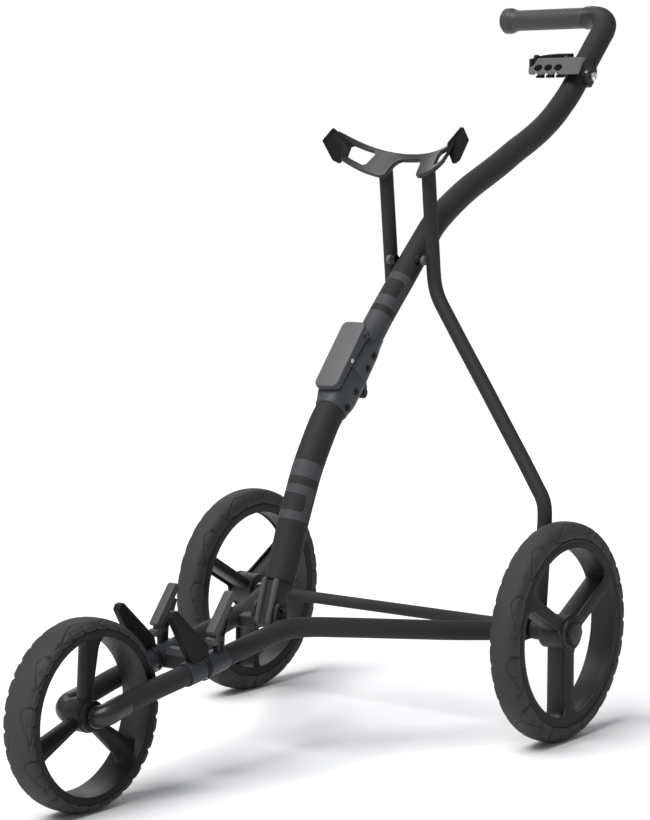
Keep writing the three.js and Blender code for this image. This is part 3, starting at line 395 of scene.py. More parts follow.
def tube(points, radius, seg=48, across=(1, 0, 0), per=8, ends=1.0, start=90.0):
    """Round bar along a smooth curve. Returns verts, faces, and rows, for a band or texture along it. The seam faces the back."""
    line = catmull(points, per) if per else np.array(points, float)
    t = np.gradient(line, axis=0)
    t /= np.linalg.norm(t, axis=1)[:, None]
    length = np.r_[0, np.cumsum(np.linalg.norm(np.diff(line, axis=0), axis=1))]
    rad = np.full(len(line), float(radius)) if np.isscalar(radius) else np.interp(length / length[-1], *zip(*radius))
    if ends:  # small rounded edge at both ends
        line = np.vstack([line[:1], line[:1] + t[:1] * ends * 0.3, line[:1] + t[:1] * ends, line[1:-1], line[-1:] - t[-1:] * ends, line[-1:] - t[-1:] * ends * 0.3, line[-1:]])
        t = np.vstack([t[:1], t[:1], t[:1], t[1:-1], t[-1:], t[-1:], t[-1:]])
        rad = np.r_[rad[0] - ends, rad[0] - ends * 0.3, rad[0], rad[1:-1], rad[-1], rad[-1] - ends * 0.3, rad[-1] - ends]
        length = np.r_[0, ends * 0.3, ends, length[1:-1], length[-1] - ends, length[-1] - ends * 0.3, length[-1]]
    a = np.array(across, float)
    aa = a - t * (t @ a)[:, None]
    aa /= np.linalg.norm(aa, axis=1)[:, None]
    bb = np.cross(t, aa)
    th = np.radians(start) + np.linspace(0, 2 * math.pi, seg, endpoint=False)
    v = line[:, None, :] + rad[:, None, None] * (np.cos(th)[None, :, None] * aa[:, None, :] + np.sin(th)[None, :, None] * bb[:, None, :])
    f = grid_faces(len(line), seg)
    f.append(tuple(range(seg))[::-1])
    f.append(tuple(range((len(line) - 1) * seg, len(line) * seg)))
    return v.reshape(-1, 3), f, (length, seg)


def tube_uv(rows, scale=0.001):
    """UV by (share of the way round, metres along)."""
    length, seg = rows

    def uv(me):
        idx = np.zeros(len(me.loops), int)
        me.loops.foreach_get("vertex_index", idx)
        row, col = idx // seg, idx % seg
        u, v = col / seg, length[row] * scale
        start = np.zeros(len(me.polygons), int)
        total = np.zeros(len(me.polygons), int)
        me.polygons.foreach_get("loop_start", start)
        me.polygons.foreach_get("loop_total", total)
        for s, n in zip(start, total):
            if n == 4 and u[s:s + n].max() - u[s:s + n].min() > 0.5:
                u[s:s + n][u[s:s + n] < 0.5] += 1.0
        return np.stack([u, v], 1)

    return uv


def plate(loops, depth, bevel=0.8, res=2):
    """Flat plate cut to the loops (outline first, then holes), rounded edges, in its own XY plane, from z 0 to depth."""
    c = bpy.data.curves.new("outline", "CURVE")
    c.dimensions = "2D"
    c.fill_mode = "BOTH"
    c.extrude = depth / 2 - bevel
    c.bevel_depth = bevel
    c.bevel_resolution = res
    c.offset = -bevel
    for loop in loops:
        s = c.splines.new("POLY")
        s.points.add(len(loop) - 1)
        for p, (x, y) in zip(s.points, loop):
            p.co = (x, y, 0, 1)
        s.use_cyclic_u = True
    o = bpy.data.objects.new("outline", c)
    bpy.context.scene.collection.objects.link(o)
    bpy.context.view_layer.update()
    me = bpy.data.meshes.new_from_object(o.evaluated_get(bpy.context.evaluated_depsgraph_get()))
    bm = bmesh.new()
    bm.from_mesh(me)
    bmesh.ops.remove_doubles(bm, verts=bm.verts, dist=1e-4)
    bmesh.ops.recalc_face_normals(bm, faces=bm.faces)
    v = np.array([p.co[:] for p in bm.verts])
    bm.verts.index_update()
    f = [tuple(p.index for p in q.verts) for q in bm.faces]
    bm.free()
    bpy.data.objects.remove(o)
    bpy.data.curves.remove(c)
    bpy.data.meshes.remove(me)
    v[:, 2] += depth / 2
    return v, f


def mapped(part, origin, ex, ey, ez):
    """Puts a piece's own axes along ex, ey and ez at origin."""
    v, f = part
    m = np.array([ex, ey, ez], float)
    return np.asarray(v).reshape(-1, 3) @ m + np.array(origin, float), f


def across(loops, x0, x1, bevel=0.8, res=2):
    """Plate of outlines given in (Y, Z), standing across the cart from x0 to x1."""
    return mapped(plate(loops, x1 - x0, bevel, res), (x0, 0, 0), (0, 1, 0), (0, 0, 1), (1, 0, 0))


def ring(r, n=32, cx=0.0, cy=0.0, phase=0.0):
    return [(cx + r * math.cos(2 * math.pi * i / n + phase), cy + r * math.sin(2 * math.pi * i / n + phase)) for i in range(n)]


def rounded(poly, r, n=5):
    """Polygon with its corners rounded; r is one number or one for each corner."""
    out, k = [], len(poly)
    for i, p in enumerate(poly):
        rr = r if np.isscalar(r) else r[i]
        p, a, b = np.array(p, float), np.array(poly[i - 1], float), np.array(poly[(i + 1) % k], float)
        u, w = a - p, b - p
        lu, lw = np.linalg.norm(u), np.linalg.norm(w)
        u, w = u / lu, w / lw
        half = math.acos(max(-1, min(1, float(u @ w)))) / 2
        if rr <= 0 or half > math.pi / 2 - 0.03:
            out.append(tuple(p))
            continue
        cut = min(rr / math.tan(half), 0.45 * lu, 0.45 * lw)
        q0, q1 = p + u * cut, p + w * cut
        for j in range(n + 1):
            s = j / n
            out.append(tuple((1 - s) ** 2 * q0 + 2 * s * (1 - s) * p + s * s * q1))
    return out


def rod(a, b, r, seg=40, ends=0.6):
    a, b = np.array(a, float), np.array(b, float)
    d = float(np.linalg.norm(b - a))
    e = min(ends, r * 0.5)
    return turned_to(lathe([[0, 0.001], [0, r - e], [e * 0.3, r - e * 0.3], [e, r], [d - e, r], [d - e * 0.3, r - e * 0.3], [d, r - e], [d, 0.001]], seg, caps=False), b - a, a)


# ------------------------------------------------------------------ camera, light, floor
cam = bpy.data.cameras.new("camera")
cam.lens = 105.62
cam.sensor_width = 36.0
cam.clip_end = 60.0
cam_o = bpy.data.objects.new("camera", cam)
cam_o.location = (1.91395, -2.59195, 0.77008)
cam_o.rotation_euler = (math.radians(90 - 6.017), 0.0, math.radians(37.289))
bpy.context.scene.collection.objects.link(cam_o)
bpy.context.scene.camera = cam_o
bpy.context.scene.view_settings.view_transform = "Standard"


def area(name, location, target, size, power, colour=(1, 1, 1)):
    light = bpy.data.lights.new(name, "AREA")
    light.shape = "RECTANGLE"
    light.size, light.size_y = size
    light.energy = power
    light.color = colour
    o = bpy.data.objects.new(name, light)
    o.location = location
    o.rotation_euler = (Vector(target) - Vector(location)).to_track_quat("-Z", "Y").to_euler()
    bpy.context.scene.collection.objects.link(o)
    return o


# large soft light from above and the image's left, like a big ceiling bank
sun = bpy.data.lights.new("bank", "SUN")
sun.energy = 3.5
sun.angle = math.radians(38.0)
sun_o = bpy.data.objects.new("bank", sun)
toward = Vector((-0.795 * 0.50 + 0.30, -0.606 * 0.50 - 0.22, 0.87))
sun_o.rotation_euler = toward.to_track_quat("Z", "Y").to_euler()
bpy.context.scene.collection.objects.link(sun_o)
area("rim", (-2.6, 2.2, 2.4), (0, 0, 0.5), (2.0, 2.6), 30.0)
area("side", (3.4, -0.4, 1.5), (0, 0, 0.5), (1.2, 2.2), 2.0)

world = bpy.data.worlds.new("studio")
world.use_nodes = True
wt = world.node_tree
bg = wt.nodes["Background"]
bg.inputs["Color"].default_value = (1.0, 1.0, 1.0, 1.0)
bg.inputs["Strength"].default_value = 1.0
dim = wt.nodes.new("ShaderNodeBackground")
dim.inputs["Color"].default_value = (0.93, 0.96, 1.0, 1.0)
dim.inputs["Strength"].default_value = 0.27
path = wt.nodes.new("ShaderNodeLightPath")
mixw = wt.nodes.new("ShaderNodeMixShader")
wt.links.new(path.outputs["Is Camera Ray"], mixw.inputs[0])
wt.links.new(dim.outputs[0], mixw.inputs[1])
wt.links.new(bg.outputs[0], mixw.inputs[2])
wt.links.new(mixw.outputs[0], wt.nodes["World Output"].inputs["Surface"])
bpy.context.scene.world = world

floor_n = Nodes("floor_pale")
floor_n.set(Base_Color=floor_n.mix(floor_n.noise(0.6, 2.0), (0.895, 0.895, 0.90), (0.915, 0.915, 0.92)), Roughness=0.75, Specular_IOR_Level=0.2)
fm = bpy.data.meshes.new("floor")
bm = bmesh.new()
bmesh.ops.create_circle(bm, cap_ends=True, radius=14.0, segments=96)
bm.to_mesh(fm)
bm.free()
floor = bpy.data.objects.new("floor", fm)
fm.materials.append(floor_n.m)
bpy.context.scene.collection.objects.link(floor)

# ------------------------------------------------------------------ wheels
REAR_R, REAR_X, FRONT_R, FRONT_Y = 146.0, 263.7, 115.4, -635.4


def capsule(px, py, r1, r2, h):
    """Signed distance to a drop: a circle of r1 at the origin, tapering along +py to r2 at h."""
    px = np.abs(px)
    b = (r1 - r2) / h
    a = math.sqrt(1 - b * b)
    k = -b * px + a * py
    d = px * a + py * b - r1
    d = np.where(k < 0, np.hypot(px, py) - r1, d)
    return np.where(k > a * h, np.hypot(px, py - h) - r2, d)


def smooth(x, lo, hi):
    t = np.clip((x - lo) / (hi - lo), 0, 1)
    return t * t * (3 - 2 * t)


def tyre(R, half, rim_out, lip, seat, loops, seg=880, phase=0.5, reach=22.0):
    """Cushion tyre with drop-shaped tread blocks and notches on both shoulders."""
    h = R - lip
    q = min(1.0, 1.25 * h / 21.4)
    half_profile = [[0, R], [half * 0.2, R - 0.15 * q], [half * 0.38, R - 0.6 * q], [half * 0.56, R - 1.5 * q], [half * 0.72, R - 3.0 * q], [half * 0.86, R - 5.6 * q],
                    [half * 0.955, R - 0.44 * h - 0.2], [half * 0.995, R - 0.65 * h], [half, R - 0.77 * h], [half * 0.99, R - 0.9 * h], [half * 0.965, R - 0.97 * h], [half * 0.93, R - 0.98 * h]]
    right = catmull([(a, b, 0) for a, b in half_profile], 4)[:, :2]
    left = right[::-1].copy()
    left[:, 0] *= -1
    outer = np.vstack([left[:-1], right])
    inner = np.array([[seat - 0.4, lip + 0.4], [seat - 0.5, rim_out + 0.3], [-(seat - 0.5), rim_out + 0.3], [-(seat - 0.4), lip + 0.4]])
    prof = np.vstack([outer, inner])
    s = np.r_[0, np.cumsum(np.linalg.norm(np.diff(outer, axis=0), axis=1))]
    s -= s[len(s) // 2]
    th = np.linspace(0, 2 * math.pi, seg, endpoint=False)
    S, T = np.meshgrid(s, th, indexing="ij")
    depth = np.zeros_like(S)
    pitch = 2 * math.pi / loops
    k = R / 146.0
    for side, lag in ((1, phase), (-1, phase + 0.5)):
        side_s = S * side
        # distance along the tread from the nearest drop's head
        a = ((T / pitch + lag) % 1.0 - 0.30) * pitch * (R - 4)
        d = capsule(side_s - 25.0 * k - 0.10 * np.clip(a, 0, None), a, 13.8 * k, 0.6, 38.0 * k)
        groove = 1.5 * np.exp(-(d / 0.85) ** 2)
        tail = np.where((a > 36 * k) & (a < 56 * k), 1.0 * np.exp(-((side_s - 26.0 * k) / 0.8) ** 2) * smooth(56 * k - a, 0, 6), 0)
        near = smooth(side_s, 1.5, 5.0)
        edge = smooth(37.5 * k - side_s, 0, 3)
        depth += (groove + tail) * near * edge
        # notches across the shoulder, which show in the outline
        for share, deep, wide in ((0.04, 1.7, 2.6), (0.37, 1.9, 2.8), (0.70, 1.8, 2.8)):
            w = np.abs(((T / pitch + lag + share) % 1.0) - 0.5) * pitch * R
            depth += deep * np.exp(-(w / wide) ** 2) * smooth(side_s, 0.60 * reach, 0.85 * reach) * smooth(1.3 * reach - side_s, 0, 4)
    n = np.gradient(outer, axis=0)
    n /= np.linalg.norm(n, axis=1)[:, None]
    nx, nr = -n[:, 1], n[:, 0]
    flip = np.sign(nr[len(nr) // 2])
    nx, nr = nx * flip, nr * flip
    rows = np.zeros((len(prof), seg, 3))
    rows[:, :, 0] = prof[:, :1]
    rad = np.repeat(prof[:, 1:], seg, axis=1)
    m = len(outer)
    rows[:m, :, 0] -= depth * nx[:, None]
    rad[:m] -= depth * nr[:, None]
    rows[:, :, 1] = rad * np.cos(th)
    rows[:, :, 2] = rad * np.sin(th)
    return rows.reshape(-1, 3), grid_faces(len(prof), seg, wrap_rows=True)


def spoke_width(r, hub, barrel, width_hub, width_rim, f_hub, f_rim):
    """Half width of a spoke's face at radius r, with fillets into hub and rim."""
    w = np.interp(r, [hub, barrel], [width_hub / 2, width_rim / 2])
    for d, fillet in ((barrel - r, f_rim), (r - hub, f_hub)):
        d = np.clip(d, 0, fillet)
        w = w + fillet - np.sqrt(np.maximum(fillet ** 2 - (fillet - d) ** 2, 0))
    return w


def wheel_face(hub, barrel, outer, angles, width_hub, width_rim, f_hub, f_rim):
    """Loops of the wheel's flat face in its own plane: outer edge and the openings between the spokes."""
    loops = [ring(outer, 160)]
    r = np.r_[np.linspace(hub, hub + f_hub, 9), np.linspace(hub + f_hub, barrel - f_rim, 6)[1:-1], np.linspace(barrel - f_rim, barrel, 12)]
    w = spoke_width(r, hub, barrel, width_hub, width_rim, f_hub, f_rim)
    off = np.arcsin(np.clip(w / r, -0.98, 0.98))
    for i, a in enumerate(angles):
        b = angles[(i + 1) % len(angles)]
        b = b if b > a else b + 2 * math.pi
        lo, hi = a + off, b - off
        side1 = [(q * math.cos(t), q * math.sin(t)) for q, t in zip(r, lo)]
        side2 = [(q * math.cos(t), q * math.sin(t)) for q, t in zip(r, hi)][::-1]
        top = [(barrel * math.cos(t), barrel * math.sin(t)) for t in np.linspace(lo[-1], hi[-1], 30)[1:-1]]
        bottom = [(hub * math.cos(t), hub * math.sin(t)) for t in np.linspace(hi[0], lo[0], 8)[1:-1]]
        loops.append(side1 + top + side2 + bottom)
    return loops


def spoke_body(a, hub, barrel, x0, x1, w_hub, w_rim, flare, power=4.0, n=32, ridge=0.0):
    """Rounded bar behind the face of a spoke, flaring where it meets the barrel."""
    rr = np.r_[hub - 4, np.linspace(hub + 2, barrel - flare, 7), barrel - flare * 0.75, barrel - flare * 0.5, barrel - flare * 0.3, barrel - flare * 0.15, barrel - flare * 0.05, barrel + 0.8]
    rings = []
    t = np.linspace(0, 2 * math.pi, n, endpoint=False)
    for q in rr:
        w = np.interp(q, [hub, barrel], [w_hub / 2, w_rim / 2])
        d = max(0.0, q - (barrel - flare))
        grow = flare * 0.8 * (1 - math.sqrt(max(0.0, 1 - (d / (flare + 0.9)) ** 2)))
        hx, hw, cx = (x1 - x0) / 2 + grow * 0.3, w + grow, (x0 + x1) / 2
        c, s = np.cos(t), np.sin(t)
        px = cx + hx * np.sign(c) * np.abs(c) ** (2 / power) + ridge * np.sign(c) * np.exp(-(s / 0.22) ** 2)
        pw = hw * np.sign(s) * np.abs(s) ** (2 / power)
        rings.append(np.stack([px, q * math.cos(a) - pw * math.sin(a), q * math.sin(a) + pw * math.cos(a)], 1))
    f = grid_faces(len(rr), n)
    f.append(tuple(range(n))[::-1])
    f.append(tuple(range((len(rr) - 1) * n, len(rr) * n)))
    return np.vstack(rings), f


def hexcap(x0, x1, across_flats, chamfer=1.0, seg=6, phase=0.0):
    r = across_flats / 2 / math.cos(math.pi / seg)
    return lathe([[x0, 0.01], [x0, r], [x1 - chamfer, r], [x1 - chamfer * 0.35, r - chamfer * 0.55], [x1, r - chamfer * 1.5], [x1, 0.01]], seg, caps=False, phase=phase)


def rear_rim(angles):
    half, lip, barrel, seat, rim_out = 19.7, 124.6, 112.5, 15.0, 121.5
    parts = [lathe([
        [-half + 0.9, barrel + 0.6], [-half + 0.5, barrel + 1.3], [-half + 0.5, lip - 0.8], [-half + 1.3, lip], [-seat, lip], [-seat, rim_out], [seat, rim_out], [seat, lip],
        [half - 1.3, lip], [half - 0.5, lip - 0.9], [half - 0.5, lip - 2.6], [half - 1.2, lip - 3.4], [half - 1.2, barrel + 1.2], [half - 2.0, barrel + 0.7], [6.0, barrel + 1.8],
        [-6.0, barrel + 1.8], [-half + 0.9, barrel + 0.6]], 200)]
    # flat face with its three openings, standing just inside the lip
    face = plate(wheel_face(24.0, barrel - 0.2, lip - 3.9, angles, 16.5, 18.5, 7.0, 15.0), 3.2, 0.5, 2)
    parts.append(mapped(face, (half - 4.3, 0, 0), (0, 1, 0), (0, 0, 1), (1, 0, 0)))
    for a in angles:
        parts.append(spoke_body(a, 16.0, barrel + 1.5, -16.0, 11.6, 15.0, 16.0, 10.0, 2.8))
        parts.append(spoke_body(a, 16.0, barrel + 1.5, 6.0, 16.4, 9.0, 10.0, 5.0))
    # hub barrel with a raised boss
    parts.append(lathe([[-20.2, 12.0], [-20.2, 21.2], [-18.8, 22.6], [10.0, 23.0], [16.0, 23.0], [18.0, 22.4], [21.8, 21.6], [23.2, 20.2], [23.2, 12.0], [-20.2, 12.0]], 72))
    return merge(parts)


def front_rim(angles):
    half, lip, barrel, seat, rim_out = 23.0, 103.4, 93.0, 18.5, 100.4
    parts = [lathe([
        [-half + 0.9, barrel + 1.6], [-half + 0.5, barrel + 2.3], [-half + 0.5, lip - 0.8], [-half + 1.3, lip], [-seat, lip], [-seat, rim_out], [seat, rim_out], [seat, lip],
        [half - 1.3, lip], [half - 0.5, lip - 0.8], [half - 0.5, barrel + 2.3], [half - 0.9, barrel + 1.6], [12.0, barrel - 0.2], [4.0, barrel], [-4.0, barrel],
        [-12.0, barrel - 0.2], [-half + 0.9, barrel + 1.6]], 200)]
    for a in angles:
        parts.append(spoke_body(a, 17.0, barrel + 1.2, -10.0, 10.0, 15.0, 29.0, 17.0, 2.3, 48, 1.3))
    parts.append(lathe([[-17.8, 9.6], [-17.8, 17.2], [-16.8, 18.6], [-12.0, 18.9], [-11.0, 20.3], [11.0, 20.3], [12.0, 18.9], [16.8, 18.6], [17.8, 17.2], [17.8, 9.6], [-17.8, 9.6]], 72))
    return merge(parts)


rear_tyre = tyre(REAR_R, 19.7, 121.5, 124.6, 15.0, 11)
front_tyre = tyre(FRONT_R, 23.0, 100.4, 103.4, 18.5, 11, 760, 0.1, 25.0)
SPOKE_TURN = 8.0  # degrees by which the front wheel stands turned
rear_angles = [-math.pi / 2, math.pi / 6, 5 * math.pi / 6]
for side, name in ((1, "wheel_left"), (-1, "wheel_right")):
    at = dict(x=side * REAR_X, y=0.0, z=REAR_R, mirror=side < 0)
    make(f"{name}_tyre_tread", *moved(rear_tyre, **at), "tyre", f"{name}_tyre", slot="tyre", sharp=50)
    make(f"{name}_rim_detail", *moved(rear_rim(rear_angles), **at), "rim", f"{name}_rim", slot="rim", sharp=38)
    cap = merge([hexcap(23.3, 27.4, 28.0, 1.4), lathe([[20.5, 0.01], [20.5, 15.6], [23.6, 15.4], [24.4, 14.6], [24.4, 0.01]], 48, caps=False), lathe([[27.2, 0.01], [27.2, 6.4], [27.9, 5.6], [27.9, 0.01]], 40, caps=False)])
    make(f"{name}_hub_cap", *moved(cap, **at), "plastic", f"{name}_cap", slot="moulding", sharp=30)
at = dict(x=0.0, y=FRONT_Y, z=FRONT_R)
make("front_wheel_tyre_tread", *moved(front_tyre, **at), "tyre", "front_wheel_tyre", slot="tyre", sharp=50)
make("front_wheel_rim_detail", *moved(front_rim([math.radians(90.0 - SPOKE_TURN + k * 120.0) for k in (0, 1, 2)]), **at), "rim", "front_wheel_rim", slot="rim", sharp=38)

bush = lathe([[-19.8, 6.9], [-19.2, 6.3], [17.0, 6.3], [17.6, 6.9], [17.6, 10.6], [17.0, 11.2], [-19.2, 11.2], [-19.8, 10.6], [-19.8, 6.9]], 64)
for side, name in ((1, "wheel_left"), (-1, "wheel_right")):
    make(f"{name}_bush_turned", *moved(bush, side * REAR_X, 0, REAR_R, mirror=side < 0), "steel", f"{name}_bush", slot="steel", sharp=40)
bush = lathe([[-17.5, 5.9], [-17.0, 5.4], [17.0, 5.4], [17.5, 5.9], [17.5, 8.7], [17.0, 9.2], [-17.0, 9.2], [-17.5, 8.7], [-17.5, 5.9]], 56)
make("front_wheel_bush_turned", *moved(bush, 0, FRONT_Y, FRONT_R), "steel", "front_wheel_bush", slot="steel", sharp=40)
bar = lathe([[-281.0, 0.01], [-281.0, 5.2], [-280.2, 6.0], [-241.8, 6.0], [-241.8, 7.4], [-241.0, 8.2], [241.0, 8.2], [241.8, 7.4], [241.8, 6.0], [280.2, 6.0], [281.0, 5.2], [281.0, 0.01]], 56, caps=False)
make("rear_axle_bar", *moved(bar, 0, 0, REAR_R), "tube", "rear_axle", slot="steel", sharp=40)
bar = lathe([[-28, 0.01], [-28, 2.2], [-27.0, 2.4], [-27.0, 3.2], [-28, 3.4], [-28, 4.4], [-27.4, 5.0], [27.4, 5.0], [28, 4.4], [28, 3.4], [27.0, 3.2], [27.0, 2.4], [28, 2.2], [28, 0.01]], 48, caps=False)
make("front_axle_bar", *moved(bar, 0, FRONT_Y, FRONT_R), "steel", "front_axle", slot="steel", sharp=40)

# ------------------------------------------------------------------ chassis tubes
ARM_R = 13.0
for side, S in ((1, "left"), (-1, "right")):
    m = lambda pts: [(side * x, y, z) for x, y, z in pts]
    arc = [(18.4, FRONT_Y, FRONT_R)]
    for i in range(1, 8):
        t = i / 7 * math.pi / 2
        arc.append((19.2 + 15.3 * math.sin(t), FRONT_Y + 15.3 - 15.3 * math.cos(t), FRONT_R + 6.5 * (i / 7) ** 1.5))
    arc += [(34.6, -610, 123.8), (34.7, -600, 125.6)]
    v, f, rows = tube(m(arc), [(0, 13.6), (1, 13.6)], 56, (0, 0, 1), 6, 0.8)
    make(f"fork_elbow_{S}_cast", v, f, "cast", f"fork_elbow_{S}", slot="tube", sharp=50)
    v, f, rows = tube(m([(34.75, -599.4, 125.8), (35.2, -575, 130.6), (37.4, -541, 136.9), (38.9, -503, 142.4), (40.1, -466.2, 148.2)]), ARM_R, 56, (1, 0, 0), 8, 0.5)
    make(f"fork_arm_{S}_tube", v, f, "tube", f"fork_arm_{S}", slot="tube", sharp=50)
    v, f, rows = tube(m([(40.1, -465.7, 148.2), (41.6, -425, 154.6), (43.4, -375, 162.2), (44.9, -335, 168.2), (49, -306, 171.8), (61, -276, 171.0), (84, -238, 167.3),
                         (132, -161, 158.7), (170, -100, 152.0), (214.5, -28.5, 146.2)]), ARM_R, 56, (0, 0, 1), 10, 0.5)
    make(f"side_arm_{S}_tube", v, f, "tube", f"side_arm_{S}", slot="tube", sharp=50)

COLLAR = 15.0


def mirrored(part, side):
    return moved(part, mirror=side < 0)


def bars(a, b, r, seg=32):
    """Round-ended bar."""
    a, b = np.array(a, float), np.array(b, float)
    d = float(np.linalg.norm(b - a))
    prof = [[0, 0.01]] + [[r - r * math.cos(t), r * math.sin(t)] for t in np.linspace(0.15, math.pi / 2, 7)]
    prof += [[d - q, w] for q, w in prof[::-1]]
    return turned_to(lathe(prof, seg, caps=False), b - a, a)


for side, S in ((1, "left"), (-1, "right")):
    c0, c1 = np.array([39.1, -497.0, 143.4]), np.array([41.5, -427.0, 154.3])
    length = float(np.linalg.norm(c1 - c0))
    along = (c1 - c0) / length
    sleeve = lathe([[0, ARM_R + 0.35], [0, COLLAR - 1.0], [0.4, COLLAR - 0.3], [1.2, COLLAR], [27.6, COLLAR], [28.0, COLLAR - 0.6], [36.0, COLLAR - 0.6], [36.4, COLLAR], [length - 1.2, COLLAR],
                    [length - 0.4, COLLAR - 0.3], [length, COLLAR - 1.0], [length, ARM_R + 0.35], [0, ARM_R + 0.35]], 72)
    make(f"arm_collar_{S}_sleeve", *mirrored(turned_to(sleeve, along, c0), side), "collar", f"arm_collar_{S}", slot="housing", sharp=35)
    ring_at = np.array([40.15, -466.0, 148.2])
    band = lathe([[-2.6, COLLAR + 0.3], [-2.6, COLLAR + 1.0], [-2.0, COLLAR + 1.6], [2.0, COLLAR + 1.6], [2.6, COLLAR + 1.0], [2.6, COLLAR + 0.3], [-2.6, COLLAR + 0.3]], 72)
    make(f"collar_ring_{S}_band", *mirrored(turned_to(band, along, ring_at), side), "rim", f"collar_ring_{S}", slot="tube", sharp=35)

    # prong: thick bar with rounded edges, dark tip and a shallow web on its outer face
    prong = [(-529, 219.5), (-526, 226), (-519, 227.5), (-463.2, 177.1), (-460.6, 166), (-460.6, 152), (-487, 152), (-499, 168)]
    outline = rounded(prong, [2.5, 4, 3, 4, 2, 1, 1, 6])
    body = across([outline], 37.6, 48.4, 1.6, 3)
    web = [(-521.5, 217.2), (-517.5, 221.0), (-469.5, 177.4), (-467.5, 170), (-482, 168), (-494, 181)]
    make(f"bag_prong_{S}_bar", *mirrored(body, side), "prong", f"bag_prong_{S}", slot="moulding", sharp=40)
    lips = merge([across([rounded(web, 2.5), rounded([(y + (cy - y) * 0.12, z + (cz - z) * 0.12) for (y, z) in web for cy, cz in [(-492, 194)]], 2.0)], x0, x1, 0.15, 1) for x0, x1 in ((48.3, 48.9),)])
    make(f"bag_prong_{S}_edge", *mirrored(moved(lips, -0.6), side), "prong", f"bag_prong_{S}", slot="moulding", sharp=40)

    # bracket behind the rubber blocks: two side plates, a thinner slotted web between them
    frame_ = [(-446.05, 188.5), (-421.3, 219.5), (-415.5, 216), (-427.5, 190), (-432.2, 184), (-433.5, 166), (-434.0, 157), (-446.0, 157), (-446.05, 170)]
    outer = rounded(frame_, [2, 2, 2, 4, 3, 2, 1, 1, 2])
    slots = [rounded([(-441.6, 187.0), (-427.6, 205.0), (-424.6, 202.6), (-433.6, 186.4), (-437.0, 182.6)], 1.4), rounded([(-442.4, 163.5), (-442.4, 177.5), (-436.6, 177.5), (-437.0, 163.5)], 1.4)]
    sides = [across([outer] + slots, 41.6, 43.8, 0.5), across([outer] + slots, 47.6, 49.8, 0.5), across([outer], 43.6, 47.8, 0.3)]
    make(f"pad_bracket_{S}_plates", *mirrored(merge(sides), side), "plastic", f"pad_bracket_{S}", slot="moulding", sharp=40)

    # rubber blocks: long one above, short one below, with rounded edges
    long_block = rounded([(-457.6, 191.8), (-422.3, 236.0), (-418.0, 237.3), (-413.6, 233.6), (-413.9, 229.8), (-446.8, 188.9), (-456.4, 188.2)], [1.6, 2.4, 2.6, 2.6, 2, 1, 1.2])
    short_block = rounded([(-446.8, 174.5), (-457.6, 174.4), (-458.6, 182.6), (-456.6, 183.9), (-446.8, 183.9)], [1, 2, 1.6, 1.4, 0.8])
    neck = [(-446.8, 182.0), (-451.6, 182.0), (-451.6, 189.5), (-446.8, 189.5)]
    blocks = merge([across([long_block], 39.2, 52.6, 1.5, 3), across([short_block], 39.2, 52.6, 1.5, 3), across([neck], 40.4, 51.4, 0.4)])
    make(f"bag_pad_{S}_blocks", *mirrored(blocks, side), "pad", f"bag_pad_{S}", slot="rubber", sharp=40)

    # lug for the foot pin
    ear = rounded([(-295, 162), (-270, 162), (-271, 184), (-274, 194), (-279, 198.6), (-287, 198.6), (-292, 194), (-295, 182)], [1, 1, 3, 3, 3, 3, 3, 3])
    lug_part = merge([across([ear, ring(4.3, 28, -283.0, 190.0)], 15.2, 21.0, 1.0), across([rounded([(-295, 162), (-270, 162), (-270, 178), (-295, 178)], 2.0)], 20.0, 49.0, 1.0)])
    make(f"foot_lug_{S}_ear", *mirrored(lug_part, side), "plastic", f"foot_lug_{S}", slot="moulding", sharp=40)

    # axle block
    block = plate([rounded([(200.8, -21.4), (222.4, -32.2), (222.6, -12), (222.6, 12.5), (200.8, 12.5)], [3, 2, 0, 3, 3])], 29.5, 1.6, 3)
    block = mapped(block, (0, 0, 131.5), (1, 0, 0), (0, 1, 0), (0, 0, 1))
    make(f"axle_block_{S}_moulding", *mirrored(block, side), "plastic", f"axle_block_{S}", slot="moulding", sharp=40)

brace = rounded([(-458, 137), (-434, 143), (-434, 158), (-441, 163), (-452, 162), (-458, 155)], [2.5, 2.5, 2.5, 3, 3, 2.5])
parts = [across([brace], -31.0, 31.0, 1.4, 3)]
parts += [across([rounded([(-457.2, 144), (-446, 147), (-446, 152), (-457.2, 150)], 1.0)], x, x + 3.0, 0.5) for x in (-12.5, 9.5)]
make("cross_brace_bar", *merge(parts), "plastic", "cross_brace", slot="moulding", sharp=40)
pin = lathe([[-23.4, 0.01], [-23.4, 2.6], [-22.6, 3.8], [-21.6, 4.0], [21.6, 4.0], [22.6, 3.8], [23.4, 2.6], [23.4, 0.01]], 40, caps=False)
make("foot_pin_bar", *moved(pin, 0, -283.0, 190.0), "black_steel", "foot_pin", slot="steel", sharp=40)

# foot casting: body, two bright bumper ridges on its front and a dark panel on either side
FRONT_TOP, FRONT_BOTTOM = (-279.0, 226.0), (-297.0, 172.0)
foot = rounded([FRONT_TOP, FRONT_BOTTOM, (-292, 165.5), (-276, 166.5), (-268, 178), (-264, 200), (-236.5, 222), (-249.0, 232.0)], [2, 3, 3, 3, 6, 8, 2, 1])
parts = [across([foot], -13.6, 13.6, 1.6, 3)]
for x in (-14.5, 12.9):
    panel = rounded([(-277.5, 220.5), (-292.0, 174.0), (-279, 170.5), (-272, 180), (-268, 201), (-257, 212)], 2.5)
    parts.append(across([panel, ring(4.4, 24, -283.0, 190.0)], x, x + 1.6, 0.5))
make("mast_foot_casting", *merge(parts), "plastic", "mast_foot", slot="moulding", sharp=40)
ridges = []
for x in (-9.2, 9.2):
    a = (FRONT_TOP[0] + 1.08 - 0.5, FRONT_TOP[1] + 3.24)
    ridges.append(bars((x, a[0], a[1]), (x, FRONT_BOTTOM[0] - 0.5, FRONT_BOTTOM[1]), 4.2))
make("mast_foot_ridges", *merge(ridges), "pad", "mast_foot", slot="moulding", sharp=50)

